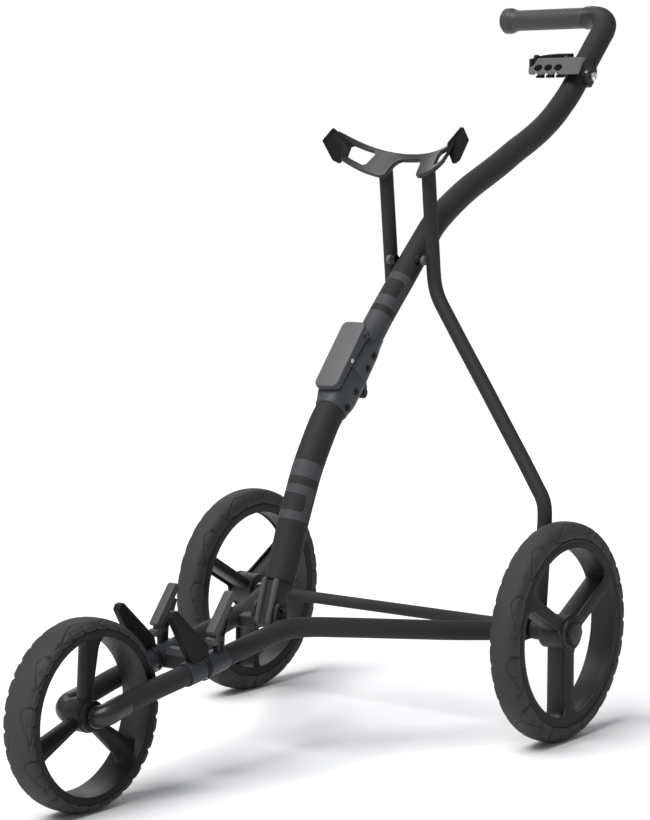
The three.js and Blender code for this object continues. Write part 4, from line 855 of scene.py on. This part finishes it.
HINGE_ANG = math.radians(46.5)
SC, SS = math.cos(HINGE_ANG), math.sin(HINGE_ANG)


def hp(s, off):
    return (-151.0 + s * SC + off * SS, 436.0 + s * SS - off * SC)


def hpv(s, off=0.0, x=0.0):
    return (x, *hp(s, off))


MAST_LOW = [(0, -262, 221), (0, -247, 257), (0, -232, 297), (0, -217, 331), (0, -203, 361), (0, -185, 391), (0, -164.5, 421), hpv(0), hpv(25), hpv(53)]
MAST_UP = [hpv(56.5), hpv(90), hpv(125), (0, -43, 550.4), (0, -20, 573.6), (0, 5, 598), (0, 33, 626), (0, 61, 652.8), (0, 87, 676.6), (0, 128, 702.5),
           (0, 175, 726.5), (0, 213, 742.5), (0, 252, 759), (0, 291, 777), (0, 332, 794.5), (0, 367, 811.5), (0, 397, 829.5), (0, 422, 848), (0, 444.1, 866), (0, 475.8, 898),
           (0, 508.5, 931), (0, 528, 950.7), (0, 537.9, 960.7), (-4.2, 548.8, 971.7), (-15.6, 556.9, 979.8), (-31.1, 559.9, 982.8), (-42.5, 559.9, 982.8)]
RIVETS = [(-249.5, 239.5), (-254.5, 228.5)]  # (Y, Z) on either side of the tube's foot
v, f, rows = tube(MAST_LOW, 20.4, 72, (1, 0, 0), 8, 0.6)
make("mast_lower_tube_banded", v, f, "mast_low", "mast_lower_tube", slot="tube", sharp=60, uv=tube_uv(rows))


rivets = []
for y, z in RIVETS:
    dome = lathe([[0.0, 0.01], [0.0, 3.0], [0.5, 3.0], [1.2, 2.4], [1.6, 1.2], [1.7, 0.01]], 32, caps=False)
    for side in (1, -1):
        rivets.append(moved(moved(dome, 18.6, 0, 0), 0, y, z, mirror=side < 0))
make("mast_lower_tube_rivets", *merge(rivets), "black_steel", "mast_lower_tube", slot="tube", sharp=35)


def tube_turning(points, radius, seg, per, start_across):
    """As tube(), but the section is carried along without twisting, so that the line may leave its plane."""
    line = catmull(points, per)
    t = np.gradient(line, axis=0)
    t /= np.linalg.norm(t, axis=1)[:, None]
    length = np.r_[0, np.cumsum(np.linalg.norm(np.diff(line, axis=0), axis=1))]
    a = np.array(start_across, float)
    a -= t[0] * (t[0] @ a)
    a /= np.linalg.norm(a)
    th = math.radians(90.0) + np.linspace(0, 2 * math.pi, seg, endpoint=False)
    out = []
    for i in range(len(line)):
        a = a - t[i] * (t[i] @ a)
        a /= np.linalg.norm(a)
        b = np.cross(t[i], a)
        r = radius
        out.append(line[i] + r * (np.cos(th)[:, None] * a + np.sin(th)[:, None] * b))
    f = grid_faces(len(line), seg)
    f.append(tuple(range(seg))[::-1])
    f.append(tuple(range((len(line) - 1) * seg, len(line) * seg)))
    return np.vstack(out), f, (length, seg)


v, f, rows = tube_turning(MAST_UP, 17.8, 72, 8, (1, 0, 0))
make("mast_upper_tube_banded", v, f, "mast_up", "mast_upper_tube", slot="tube", sharp=60, uv=tube_uv(rows))

# ------------------------------------------------------------------ mast hinge and its latch cover


def section(w, front, rear, rf, rr, n=9):
    """Rounded box in (x, off): half width w, from front to rear, corner radii rf at the front and rr at the rear."""
    out = []
    for cx, cy, r, a0 in ((w - rr, rear - rr, rr, 0.0), (-w + rr, rear - rr, rr, 90.0), (-w + rf, front + rf, rf, 180.0), (w - rf, front + rf, rf, 270.0)):
        for i in range(n):
            t = math.radians(a0 + 90.0 * i / (n - 1))
            out.append((cx + r * math.cos(t), cy + r * math.sin(t)))
    return out


def loft(rows, ends=True):
    """Skin over sections of equal point count; each row is a list of 3-D points."""
    n = len(rows[0])
    f = grid_faces(len(rows), n)
    if ends:
        f.append(tuple(range(n))[::-1])
        f.append(tuple(range((len(rows) - 1) * n, len(rows) * n)))
    return np.array(rows, float).reshape(-1, 3), f


def housing(stations):
    return loft([[hpv(s, o, x) for x, o in section(w, fr, re, rf, rr)] for s, w, fr, re, rf, rr in stations])


lower_shell = housing([(-1.0, 21.0, -21.0, 21.0, 20.6, 20.6), (-0.4, 22.0, -22.0, 22.0, 21.4, 21.4), (1.6, 22.3, -22.4, 22.2, 21.0, 21.0), (2.4, 21.9, -22.0, 21.9, 20.6, 20.6),
                       (9, 22.1, -22.6, 22.1, 17.0, 18.0), (16, 22.4, -23.1, 22.2, 12.0, 15.0), (23, 22.5, -23.4, 22.0, 9.0, 14.0), (54.0, 22.0, -23.4, 21.4, 8.0, 14.0), (54.7, 21.5, -22.9, 20.9, 7.6, 13.6)])
upper_shell = housing([(55.3, 21.5, -22.9, 20.9, 7.6, 13.6), (56.0, 22.0, -23.4, 21.4, 8.0, 14.0), (76, 21.2, -23.4, 20.6, 8.0, 14.4), (97, 20.7, -23.3, 20.1, 8.6, 15.0), (104, 20.5, -22.8, 19.9, 11.5, 16.0),
                       (109, 20.2, -22.0, 19.7, 14.5, 17.0), (114, 19.8, -20.9, 19.5, 17.5, 18.2), (119, 19.4, -19.9, 19.3, 18.9, 18.9), (128.4, 19.0, -19.1, 19.0, 18.8, 18.8), (129.6, 18.5, -18.5, 18.5, 18.1, 18.1)])
HPIN = hp(55.0, 30.6)


def knuckle(x0, x1, side):
    """Ear that holds the hinge pin, on the hinge half towards side."""
    base = [hp(55.0 + side * 16, 18), hp(55.0 + side * 15, 23), hp(55.0 + side * 9, 31)]
    t0 = math.atan2(base[2][1] - HPIN[1], base[2][0] - HPIN[0])
    turn = -side
    arc = [(HPIN[0] + 7.6 * math.cos(t0 + turn * k / 12 * math.radians(170)), HPIN[1] + 7.6 * math.sin(t0 + turn * k / 12 * math.radians(170))) for k in range(13)]
    loop = base + arc + [hp(55.0 + side * 0.3, 18)]
    return across([loop], x0, x1, 0.7)


make("hinge_lower_shell", *lower_shell, "housing", "hinge_lower", slot="housing", sharp=50)
make("hinge_lower_knuckle", *knuckle(-5.4, 5.4, -1), "plastic", "hinge_lower", slot="housing", sharp=30)
lug = across([rounded([hp(101, -22), hp(116, -20), hp(112.6, -25), hp(112.6, -31), hp(104.4, -31), hp(104.4, -25)], 2.0)], -17.8, 17.8, 0.6)
make("hinge_upper_shell", *merge([upper_shell, lug]), "housing", "hinge_upper", slot="housing", sharp=50)
make("hinge_upper_knuckles", *merge([knuckle(5.8, 11.0, 1), knuckle(-11.0, -5.8, 1)]), "plastic", "hinge_upper", slot="housing", sharp=30)
for i, (at_s, inward) in enumerate(((7.8, 0.3), (35.3, 0.5), (74.8, 1.5), (96.5, 2.0))):
    parts = []
    for side in (1, -1):
        # dark recess ring and the bolt head inside it
        well = lathe([[21.6, 0.01], [21.6, 5.6], [23.0, 5.6], [23.3, 5.2], [23.3, 4.4], [22.9, 4.0], [22.9, 0.01]], 40, caps=False)
        head = lathe([[22.6, 0.01], [22.6, 3.3], [24.2, 3.3], [24.6, 2.9], [24.6, 1.7], [23.9, 1.6], [23.9, 0.01]], 6, caps=False)
        parts += [moved(moved(piece, -inward, 0, 0), 0, *hp(at_s, 3.2), mirror=side < 0) for piece in (well, head)]
    make(f"hinge_bolt_{i + 1}_heads", *merge(parts), "black_steel", f"hinge_bolt_{i + 1}", slot="steel", sharp=30)


def lid_front(s):
    return -33.8 - (s - 15.5) * 0.065


def lid_back(s):
    """Back of the lid: thinner past the hinge pin, so that its end swings clear of the tube."""
    return -23.9 if s < 101.5 else -33.4


def lid_layers(s0, s1, w, r, depths):
    """Stack of rounded rectangles in (x, s); depths holds (share from back to front, inset)."""
    rows = []
    for share, inset in depths:
        half, c = (s1 - s0) / 2 - inset, (s0 + s1) / 2
        rr = max(r - inset, 0.5)
        row = []
        loop = section(w - inset, -half, half, rr, rr, 10)
        loop[20:20] = [(inset - w, 102.3 - c), (inset - w, 101.2 - c)]
        loop += [(w - inset, 101.2 - c), (w - inset, 102.3 - c)]
        for x, q in loop:
            s = c + q
            off = lid_back(s) + (lid_front(s) - lid_back(s)) * share[0] + share[1]
            row.append(hpv(s, off, x))
        rows.append(row)
    n = len(rows[0])
    verts, faces = loft(rows, ends=False)
    faces.append(tuple(range((len(rows) - 1) * n, len(rows) * n)))
    # the back in three flat faces: the end past the pin, the step and the rest
    faces += [tuple(list(range(0, 21)) + [43])[::-1], (42, 43, 20, 21)[::-1], tuple(range(21, 43))[::-1]]
    return verts, faces


cover_body = lid_layers(14.2, 119.8, 19.3, 8.6, [((0.0, 0.0), 0.9), ((0.0, -0.9), 0.0), ((1.0, 2.4), 0.0), ((1.0, 1.2), 0.8), ((1.0, 1.0), 1.6)])
cover_face = lid_layers(14.7, 119.2, 18.3, 8.3, [((1.0, 1.5), 0.0), ((1.0, 0.7), 0.0), ((1.0, 0.2), 0.35), ((1.0, 0.0), 1.1)])
cheek_loop = [hp(102.6, -35), hp(113.4, -35)] + [hp(108.5 + 4.1 * math.cos(math.pi * k / 14), -28 + 4.1 * math.sin(math.pi * k / 14)) for k in range(15)]
make("latch_cover_body", *merge([cover_body, across([cheek_loop], 18.5, 21.3, 0.5), across([cheek_loop], -21.3, -18.5, 0.5)]), "cover_side", "latch_cover", slot="cover", sharp=40)
make("latch_cover_face", *cover_face, "cover", "latch_cover", slot="cover", sharp=30)
catch = lathe([[19.0, 0.01], [19.0, 3.0], [19.7, 3.0], [20.1, 2.5], [20.1, 0.01]], 40, caps=False)
make("latch_catch_ends", *merge([moved(catch, 0, *hp(62, -29.0)), moved(catch, 0, *hp(62, -29.0), mirror=True)]), "steel_soft", "latch_catch_pin", slot="steel", sharp=30)

# ------------------------------------------------------------------ grip with rows of dimples
GRIP_Y, GRIP_Z = 559.9, 982.8


def dimpled_grip():
    x = np.r_[np.linspace(-190.5, -165, 40), np.linspace(-165, -46, 260)[1:], np.linspace(-46, -44, 5)[1:]]
    r = np.interp(x, [-190.5, -189.6, -188.6, -180.5, -178, -176.0, -173.0, -170, -166, -47, -45, -44], [18.6, 19.7, 20.1, 20.1, 19.7, 19.0, 17.6, 16.6, 16.05, 16.05, 15.9, 15.2])
    seg = 176
    th = np.linspace(0, 2 * math.pi, seg, endpoint=False)
    X, T = np.meshgrid(x, th, indexing="ij")
    R = np.repeat(r[:, None], seg, axis=1)
    pitch_x, count = 4.7, 22
    around = T / (2 * math.pi) * count
    row = np.floor((X + 200) / pitch_x)
    du = (around + 0.5 * (row % 2)) % 1.0 - 0.5
    dx = ((X + 200) / pitch_x) % 1.0 - 0.5
    d = np.hypot(du * 2 * math.pi * 16 / count, dx * pitch_x)
    inside = (X > -163) & (X < -62)
    R -= np.where(inside, 0.62 * np.exp(-(d / 1.15) ** 4), 0)
    v = np.stack([X, R * np.cos(T), R * np.sin(T)], 2).reshape(-1, 3)
    f = grid_faces(len(x), seg)
    n = len(x)
    core = [[-44.0, 12.1], [-190.5, 12.1]]
    for i, (cx, cr) in enumerate(core):
        v = np.vstack([v, np.stack([np.full(seg, cx), cr * np.cos(th), cr * np.sin(th)], 1)])
    f = f + [tuple((a + 0, b + 0, c, d)) for a, b, c, d in []]
    for j in range(seg):
        k = (j + 1) % seg
        f.append(((n - 1) * seg + j, (n - 1) * seg + k, n * seg + k, n * seg + j))
        f.append((n * seg + j, n * seg + k, (n + 1) * seg + k, (n + 1) * seg + j))
        f.append(((n + 1) * seg + j, (n + 1) * seg + k, k, j))
    return moved((v, f), 0, GRIP_Y, GRIP_Z)


make("grip_dimpled", *dimpled_grip(), "grip", "grip", slot="rubber", sharp=60)
cap = lathe([[-195.4, 0.01], [-195.3, 8.0], [-194.8, 12.5], [-193.4, 15.8], [-192.0, 17.2], [-190.9, 17.8], [-190.9, 0.01]], 72, caps=False)
make("grip_end_cap", *moved(cap, 0, GRIP_Y, GRIP_Z), "plastic", "grip_cap", slot="moulding", sharp=45)

# ------------------------------------------------------------------ bag struts
POST = [(35.6, 21.1, 752), (35.5, 27.4, 690), (35.5, 33.0, 635)]
LONG = POST + [(35.6, 35.2, 612), (37.0, 35.6, 598), (41.0, 34.8, 585), (47.8, 33.8, 572), (57.6, 32.6, 558.2), (87.8, 29.0, 516), (126, 24.6, 463.5), (162.5, 20.3, 412.5),
               (199.1, 16.0, 361.7), (220.0, 13.5, 331.5), (227.0, 12.6, 321.4), (231.3, 11.7, 311.1), (233.3, 10.6, 298), (233.3, 8.0, 265), (233.2, 4.0, 215), (233.1, 0.6, 180), (233.1, 0, 161)]
PIVOT = (22.3, 628.6)
STRUT_R = 9.8
CW = CZ = math.sqrt(0.5)


def cr_top(x):
    """Height of the cradle's upper face, square to the bag."""
    return 521.8 + 0.00395 * x * x + 6.5e-8 * x ** 4


def trimmed(points, per, seg=48, drop=0.0):
    """Strut tube whose top is cut to the cradle's lower face."""
    v, f, rows = tube(points, STRUT_R, seg, (1, 0, 0), per, 0.0)
    line = catmull(points, per)
    t = line[0] - line[1]
    t /= np.linalg.norm(t)
    rate = -t[1] * CZ + t[2] * CW
    for j in range(seg):
        have = -v[j, 1] * CZ + v[j, 2] * CW
        v[j] += t * (cr_top(v[j, 0]) - 6.4 - have) / rate
    return v, f


def pivot_boss(side):
    return moved(lathe([[25.65, 0.01], [25.65, 5.0], [26.4, 6.2], [27.2, 6.6], [31.0, 6.6], [31.0, 0.01]], 40, caps=False), 0, *PIVOT, mirror=side < 0)


v, f = trimmed(LONG, 8)
make("bag_strut_left_tube", v, f, "tube", "bag_strut_left", slot="tube", sharp=60)
v, f = trimmed([(-x, y, z) for x, y, z in POST] + [(-35.5, 38.0, 585.0)], 8)
make("bag_strut_right_tube", v, f, "tube", "bag_strut_right", slot="tube", sharp=60)
for side, S in ((1, "left"), (-1, "right")):
    # the lug's light grey colour is a painted highlight
    make(f"bag_strut_{S}_boss", *pivot_boss(side), "boss", f"bag_strut_{S}", slot="tube", sharp=40)
eye = lathe([[-7.8, 8.6], [-7.8, 13.2], [-6.6, 14.5], [6.6, 14.5], [7.8, 13.2], [7.8, 8.6], [-7.8, 8.6]], 64)
neck = across([rounded([(-8.2, 158.4), (8.2, 158.4), (8.2, 170.0), (-8.2, 170.0)], 1.5)], 225.3, 240.9, 1.2)
make("bag_strut_left_eye", *merge([moved(eye, 233.1, 0, REAR_R), neck]), "plastic", "bag_strut_left", slot="tube", sharp=40)
pin = lathe([[-25.2, 0.01], [-25.2, 4.4], [-24.4, 5.2], [-22.0, 5.2], [-21.6, 6.9], [-17.6, 6.9], [-17.6, 0.01]], 40, caps=False)
make("strut_pivot_pin_ends", *merge([moved(pin, 0, *PIVOT), moved(pin, 0, *PIVOT, mirror=True)]), "black_steel", "strut_pivot_pin", slot="steel", sharp=35)

# ------------------------------------------------------------------ cradle


def trimmed_behind(part, co, no, x_from):
    """Cuts away what stands in front of a plane, for |x| beyond x_from, and closes the cut. The plane is mirrored for -x."""
    v, f = part
    bm = bmesh.new()
    vs = [bm.verts.new(p) for p in np.asarray(v, float)]
    for q in f:
        bm.faces.new([vs[i] for i in q])
    for side in (1, -1):
        bmesh.ops.bisect_plane(bm, geom=bm.verts[:] + bm.edges[:] + bm.faces[:], dist=1e-4, plane_co=(side * x_from, 0, 0), plane_no=(1, 0, 0))
        pick = [q for q in bm.faces if side * q.calc_center_median().x > x_from]
        edges = list({e for q in pick for e in q.edges})
        verts = list({w for q in pick for w in q.verts})
        bmesh.ops.bisect_plane(bm, geom=verts + edges + pick, dist=1e-4, plane_co=(side * co[0], co[1], co[2]), plane_no=(side * no[0], no[1], no[2]), clear_outer=True)
    bmesh.ops.remove_doubles(bm, verts=bm.verts, dist=1e-3)
    bmesh.ops.holes_fill(bm, edges=[e for e in bm.edges if e.is_boundary])
    bm.verts.index_update()
    out = np.array([q.co[:] for q in bm.verts])
    faces = [tuple(q.index for q in w.verts) for w in bm.faces]
    bm.free()
    return out, faces


def bent(part, x0, x1, step, drop):
    """Plate in (x, w), sliced every step along x and bent to the cradle's curve; its z 0 is drop below the upper face."""
    v, f = part
    bm = bmesh.new()
    vs = [bm.verts.new(p) for p in np.asarray(v, float)]
    for q in f:
        bm.faces.new([vs[i] for i in q])
    x = x0 + step
    while x < x1 - 0.5:
        geom = bm.verts[:] + bm.edges[:] + bm.faces[:]
        bmesh.ops.bisect_plane(bm, geom=geom, dist=1e-4, plane_co=(x, 0, 0), plane_no=(1, 0, 0))
        x += step
    bm.verts.ensure_lookup_table()
    bm.verts.index_update()
    out = np.array([p.co[:] for p in bm.verts])
    faces = [tuple(p.index for p in q.verts) for q in bm.faces]
    bm.free()
    h = cr_top(out[:, 0]) - drop + out[:, 2]
    w = out[:, 1]
    return np.stack([out[:, 0], w * CW - h * CZ, w * CZ + h * CW], 1), faces


HALF = [(14.5, 560.6), (19, 557), (22, 551), (24.6, 534), (27, 529), (33, 526.5), (60, 527.5), (86, 531), (95, 540), (97, 556), (103, 570), (95, 571), (60, 571.5)]
band_loop = [(0, 561)] + HALF + [(0, 572.7)] + [(-x, w) for x, w in HALF[::-1]]
band_round = [0] + [4, 4, 4, 4, 4, 4, 0, 6, 4, 3, 2, 1, 0] + [0] + [0, 1, 2, 3, 4, 6, 0, 4, 4, 4, 4, 4, 4]
window = [(54.5, 564.5), (82, 562.8), (84.3, 559), (82.4, 542), (79.5, 539), (60, 536.6), (57, 540), (53, 560)]
loops = [rounded(band_loop, band_round)]
for side in (1, -1):
    loops.append(rounded([(side * x, w) for x, w in window], 3.0))
band = bent(plate(loops, 6.8, 1.7, 3), -106, 106, 4.0, 6.8)
END = [(106.7, -5.8, 810), (120.5, -12.6, 792), (104.4, -10.2, 764.9), (94.5, -7.4, 759.9), (86.5, -3.4, 771), (79.3, 1.0, 787.5)]
pts = np.array(END, float)
mid_end = pts.mean(axis=0)
n_end = np.array([-0.322, -0.9405, 0.1085])
n_end /= np.linalg.norm(n_end)
ex = np.array([1.0, 0.0, 0.0]) - n_end * n_end[0]
ex /= np.linalg.norm(ex)
ey = np.cross(-n_end, ex)
flat = [(float((q - mid_end) @ ex), float((q - mid_end) @ ey)) for q in pts]
outline = rounded(flat, [3, 3, 4, 4, 4, 4])
band = trimmed_behind(band, tuple(mid_end - n_end * 2.6), tuple(n_end), 86.0)
make("bag_cradle_band", *band, "gloss", "bag_cradle", slot="moulding", sharp=42)


def shrunk(poly, k):
    return [(x * k, y * k) for x, y in poly]


back = plate([outline], 4.0, 1.2, 3)
border = plate([outline, rounded(shrunk(flat, 0.84), 3.0)], 1.6, 0.5, 2)
slab = merge([moved(back, z=0.9), border])
plates = mapped(slab, tuple(mid_end), tuple(ex), tuple(ey), tuple(-n_end))
make("bag_cradle_end_left", *plates, "prong", "bag_cradle", slot="moulding", sharp=40)
make("bag_cradle_end_right", *moved(plates, mirror=True), "prong", "bag_cradle", slot="moulding", sharp=40)

# ------------------------------------------------------------------ console
CLAMP = (473.2, 896.0)
T_UP = np.array([0.0, 0.70, 0.714]) / math.hypot(0.70, 0.714)


def tilted(part, deg=12.0):
    """Turned about the tray's front edge."""
    v, f = part
    v = np.asarray(v, float).reshape(-1, 3).copy()
    c, q = math.cos(math.radians(deg)), math.sin(math.radians(deg))
    y, z = v[:, 1] - 430.6, v[:, 2] - 905.4
    v[:, 1], v[:, 2] = 430.6 + c * y - q * z, 905.4 + q * y + c * z
    return v, f


def upright(loops, y_front, depth, bevel, res=2):
    """Plate with outlines in (x, z), its front at y_front and its depth to the rear."""
    return mapped(plate(loops, depth, bevel, res), (0, y_front, 0), (1, 0, 0), (0, 0, 1), (0, 1, 0))


def slanted(cx, a, b, cz=902.4, lean=0.35, n=28):
    return [(cx + a * math.cos(t) + lean * b * math.sin(t), cz + b * math.sin(t)) for t in np.linspace(0, 2 * math.pi, n, endpoint=False)]


SEATS = (-45.2, -27.8, -10.4)
face = [(-62.4, 903.4), (-54, 906), (-45.5, 917), (33.2, 916.4), (23.2, 892), (-3.0, 892)]
bumps = []
for x in SEATS[::-1]:
    bumps += [(x + 5.6, 892.0), (x - 2.6, 892.6), (x - 3.4, 895.4), (x - 6.8, 895.6), (x - 8.2, 892.6)]
face += bumps + [(-62.4, 892.6)]
face_round = [3.0, 3.0, 2.0, 1.5, 1.5, 0.5] + [1.0, 0.8, 0.8, 0.8, 1.0] * 3 + [4.5]
loops = [rounded(face, face_round)] + [slanted(x, 7.0, 4.9) for x in SEATS]
make("console_plate_face", *upright(loops, 424.6, 5.6, 0.9, 3), "plate", "console_plate", slot="cover", sharp=40)
parts = [upright([rounded([(-61, 896.2), (-2, 896.2), (-2, 904.5), (-61, 904.5)], 1.5)], 430.6, 3.0, 0.5)]
for x in SEATS:
    parts.append(upright([rounded([(x - 4.6, 887.6), (x + 6.6, 887.6), (x + 6.6, 898.0), (x - 4.6, 898.0)], 1.0)], 430.6, 3.0, 0.4))
    parts.append(upright([slanted(x, 6.6, 4.5)], 428.0, 3.2, 0.4))
    for d in (-3.4, -0.2, 3.0):  # ribs inside the seat
        top = 902.4 + 3.4 * math.sqrt(max(0.0, 1 - (d / 5.8) ** 2))
        low_ = 902.4 - 3.4 * math.sqrt(max(0.0, 1 - (d / 5.8) ** 2))
        parts.append(upright([rounded([(x + d - 0.6 - 0.9, low_), (x + d + 0.6 - 0.9, low_), (x + d + 0.6 + 0.9, top), (x + d - 0.6 + 0.9, top)], 0.3)], 426.2, 2.2, 0.25))
    for a, b in ((-4.6, -2.2), (-1.2, 0.4), (1.4, 3.0), (4.0, 6.6)):  # teeth below
        parts.append(upright([rounded([(x + a, 891.4), (x + a + 0.5, 887.6), (x + b - 0.4, 887.6), (x + b, 891.4)], 0.6)], 425.6, 5.6, 0.4))
for x, y, z0, z1 in ((-59, 429, 903.6, 917), (-52.2, 431.5, 903.6, 922.5)):  # ribbed posts
    prof = [[0, 0.01], [0, 3.9], [0.6, 4.4]]
    z = 1.6
    while z < (z1 - z0) - 2.6:
        prof += [[z, 4.4], [z + 0.5, 3.7], [z + 1.1, 3.7], [z + 1.6, 4.4]]
        z += 2.6
    prof += [[z1 - z0 - 1.8, 4.4], [z1 - z0 - 0.6, 3.6], [z1 - z0, 2.0], [z1 - z0, 0.01]]
    parts.append(turned_to(lathe(prof, 32, caps=False), (0, 0, 1), (x, y, z0)))
make("tee_comb_detail", *merge(parts), "comb", "tee_comb", slot="rubber", sharp=40)

# tray: floor and raised wall, cut round the mast and its clamp
arc = [(-44 + 28.5 * math.cos(t), 459.5 + 28.5 * math.sin(t)) for t in np.linspace(math.pi / 2 - 0.1, math.pi * 1.5 - 0.62, 24)]
tray = [(-60.4, 430.8), (7.4, 430.8), (7.4, 452.0), (-8.0, 454.0), (-17.0, 461.0), (-20.6, 473.0), (-19.0, 486.6)] + arc
inner = [(-56.5, 434.0), (4.4, 434.0), (4.4, 449.0), (-9.0, 451.2), (-19.4, 459.4), (-23.6, 472.4), (-22.4, 483.4)] + [(-44 + 25.3 * math.cos(t), 459.5 + 25.3 * math.sin(t)) for t in np.linspace(math.pi / 2 - 0.1, math.pi * 1.5 - 0.74, 24)]
flat_on = lambda loops, z0, depth, bevel, res=2: mapped(plate(loops, depth, bevel, res), (0, 0, z0), (1, 0, 0), (0, 1, 0), (0, 0, 1))
parts = [tilted(flat_on([tray], 905.4, 3.2, 0.6)), tilted(flat_on([tray, inner], 905.4, 9.0, 1.1, 3))]
parts.append(tilted(flat_on([ring(9.0, 40, -42.0, 458.0), ring(7.2, 40, -42.0, 458.0)], 908.2, 1.4, 0.4)))
make("console_tray_shell", *merge(parts), "gloss", "console_tray", slot="moulding", sharp=40)

c_at = np.array([0.0, *CLAMP])
band = lathe([[-12, 18.2], [-12, 21.2], [-11.0, 22.4], [-4.0, 22.4], [-3.4, 21.8], [3.4, 21.8], [4.0, 22.4], [11.0, 22.4], [12, 21.2], [12, 18.2], [-12, 18.2]], 72)
parts = [turned_to(band, T_UP, c_at)]
ear = rounded([(441, 911), (452, 918.5), (471, 892), (470, 880), (462, 872.5), (452, 875)], [2, 3, 4, 4, 3, 3])
parts.append(across([ear, ring(4.4, 28, 463.7, 889.1)], 20.0, 26.0, 1.2, 3))
parts.append(across([rounded([(443, 909), (452, 915.5), (468, 892), (467, 881), (461, 875.5), (453, 878)], 2.0)], 16.0, 20.6, 0.6))
parts.append(tilted(flat_on([rounded([(-26, 434.3), (12, 434.3), (12, 456), (-26, 456)], 2.0)], 897.5, 7.1, 0.9)))
make("console_clamp_body", *merge(parts), "plastic", "console_clamp", slot="moulding", sharp=40)
screw = lathe([[26.2, 0.01], [26.2, 6.0], [27.0, 6.4], [29.8, 6.4], [31.2, 5.4], [32.2, 3.8], [32.4, 3.2], [31.0, 2.4], [31.0, 0.01]], 48, caps=False)
small = lathe([[25.8, 0.01], [25.8, 3.6], [27.4, 3.4], [28.2, 2.4], [28.2, 0.01]], 36, caps=False)
make("clamp_screw_head", *moved(screw, 0, 463.7, 889.1), "steel_soft", "clamp_screw", slot="steel", sharp=35)
make("console_clamp_stud", *moved(small, -2.0, 448.5, 896.5), "steel", "console_clamp", slot="steel", sharp=35)

# ------------------------------------------------------------------ remaining CAD nodes take their finish
FINISH = {
    "rear_axle": "tube", "front_axle": "steel", "cross_brace": "plastic", "foot_pin": "black_steel", "mast_foot": "plastic",
    "hinge_lower": "housing", "hinge_upper": "housing", "hinge_pin": "black_steel", "latch_cover": "cover", "latch_hinge_pin": "black_steel",
    "latch_catch_pin": "steel", "strut_pivot_pin": "black_steel", "grip_core": "tube", "console_clamp": "plastic", "clamp_screw": "steel",
    "console_tray": "plastic", "console_plate": "plate", "bag_strut_left": "tube", "bag_strut_right": "tube", "bag_cradle": "plastic",
    "wheel_left_bush": "steel", "wheel_right_bush": "steel", "front_wheel_bush": "steel",
}
for n, o in NODES.items():
    key = FINISH.get(n)
    if key is None:
        if "bolt" in n:
            key = "black_steel"
        elif "collar" in n:
            key = "collar"
        elif n.startswith("bag_pad"):
            key = "pad"
        else:
            key = "plastic"
    o.data.materials.clear()
    o.data.materials.append(M[key])
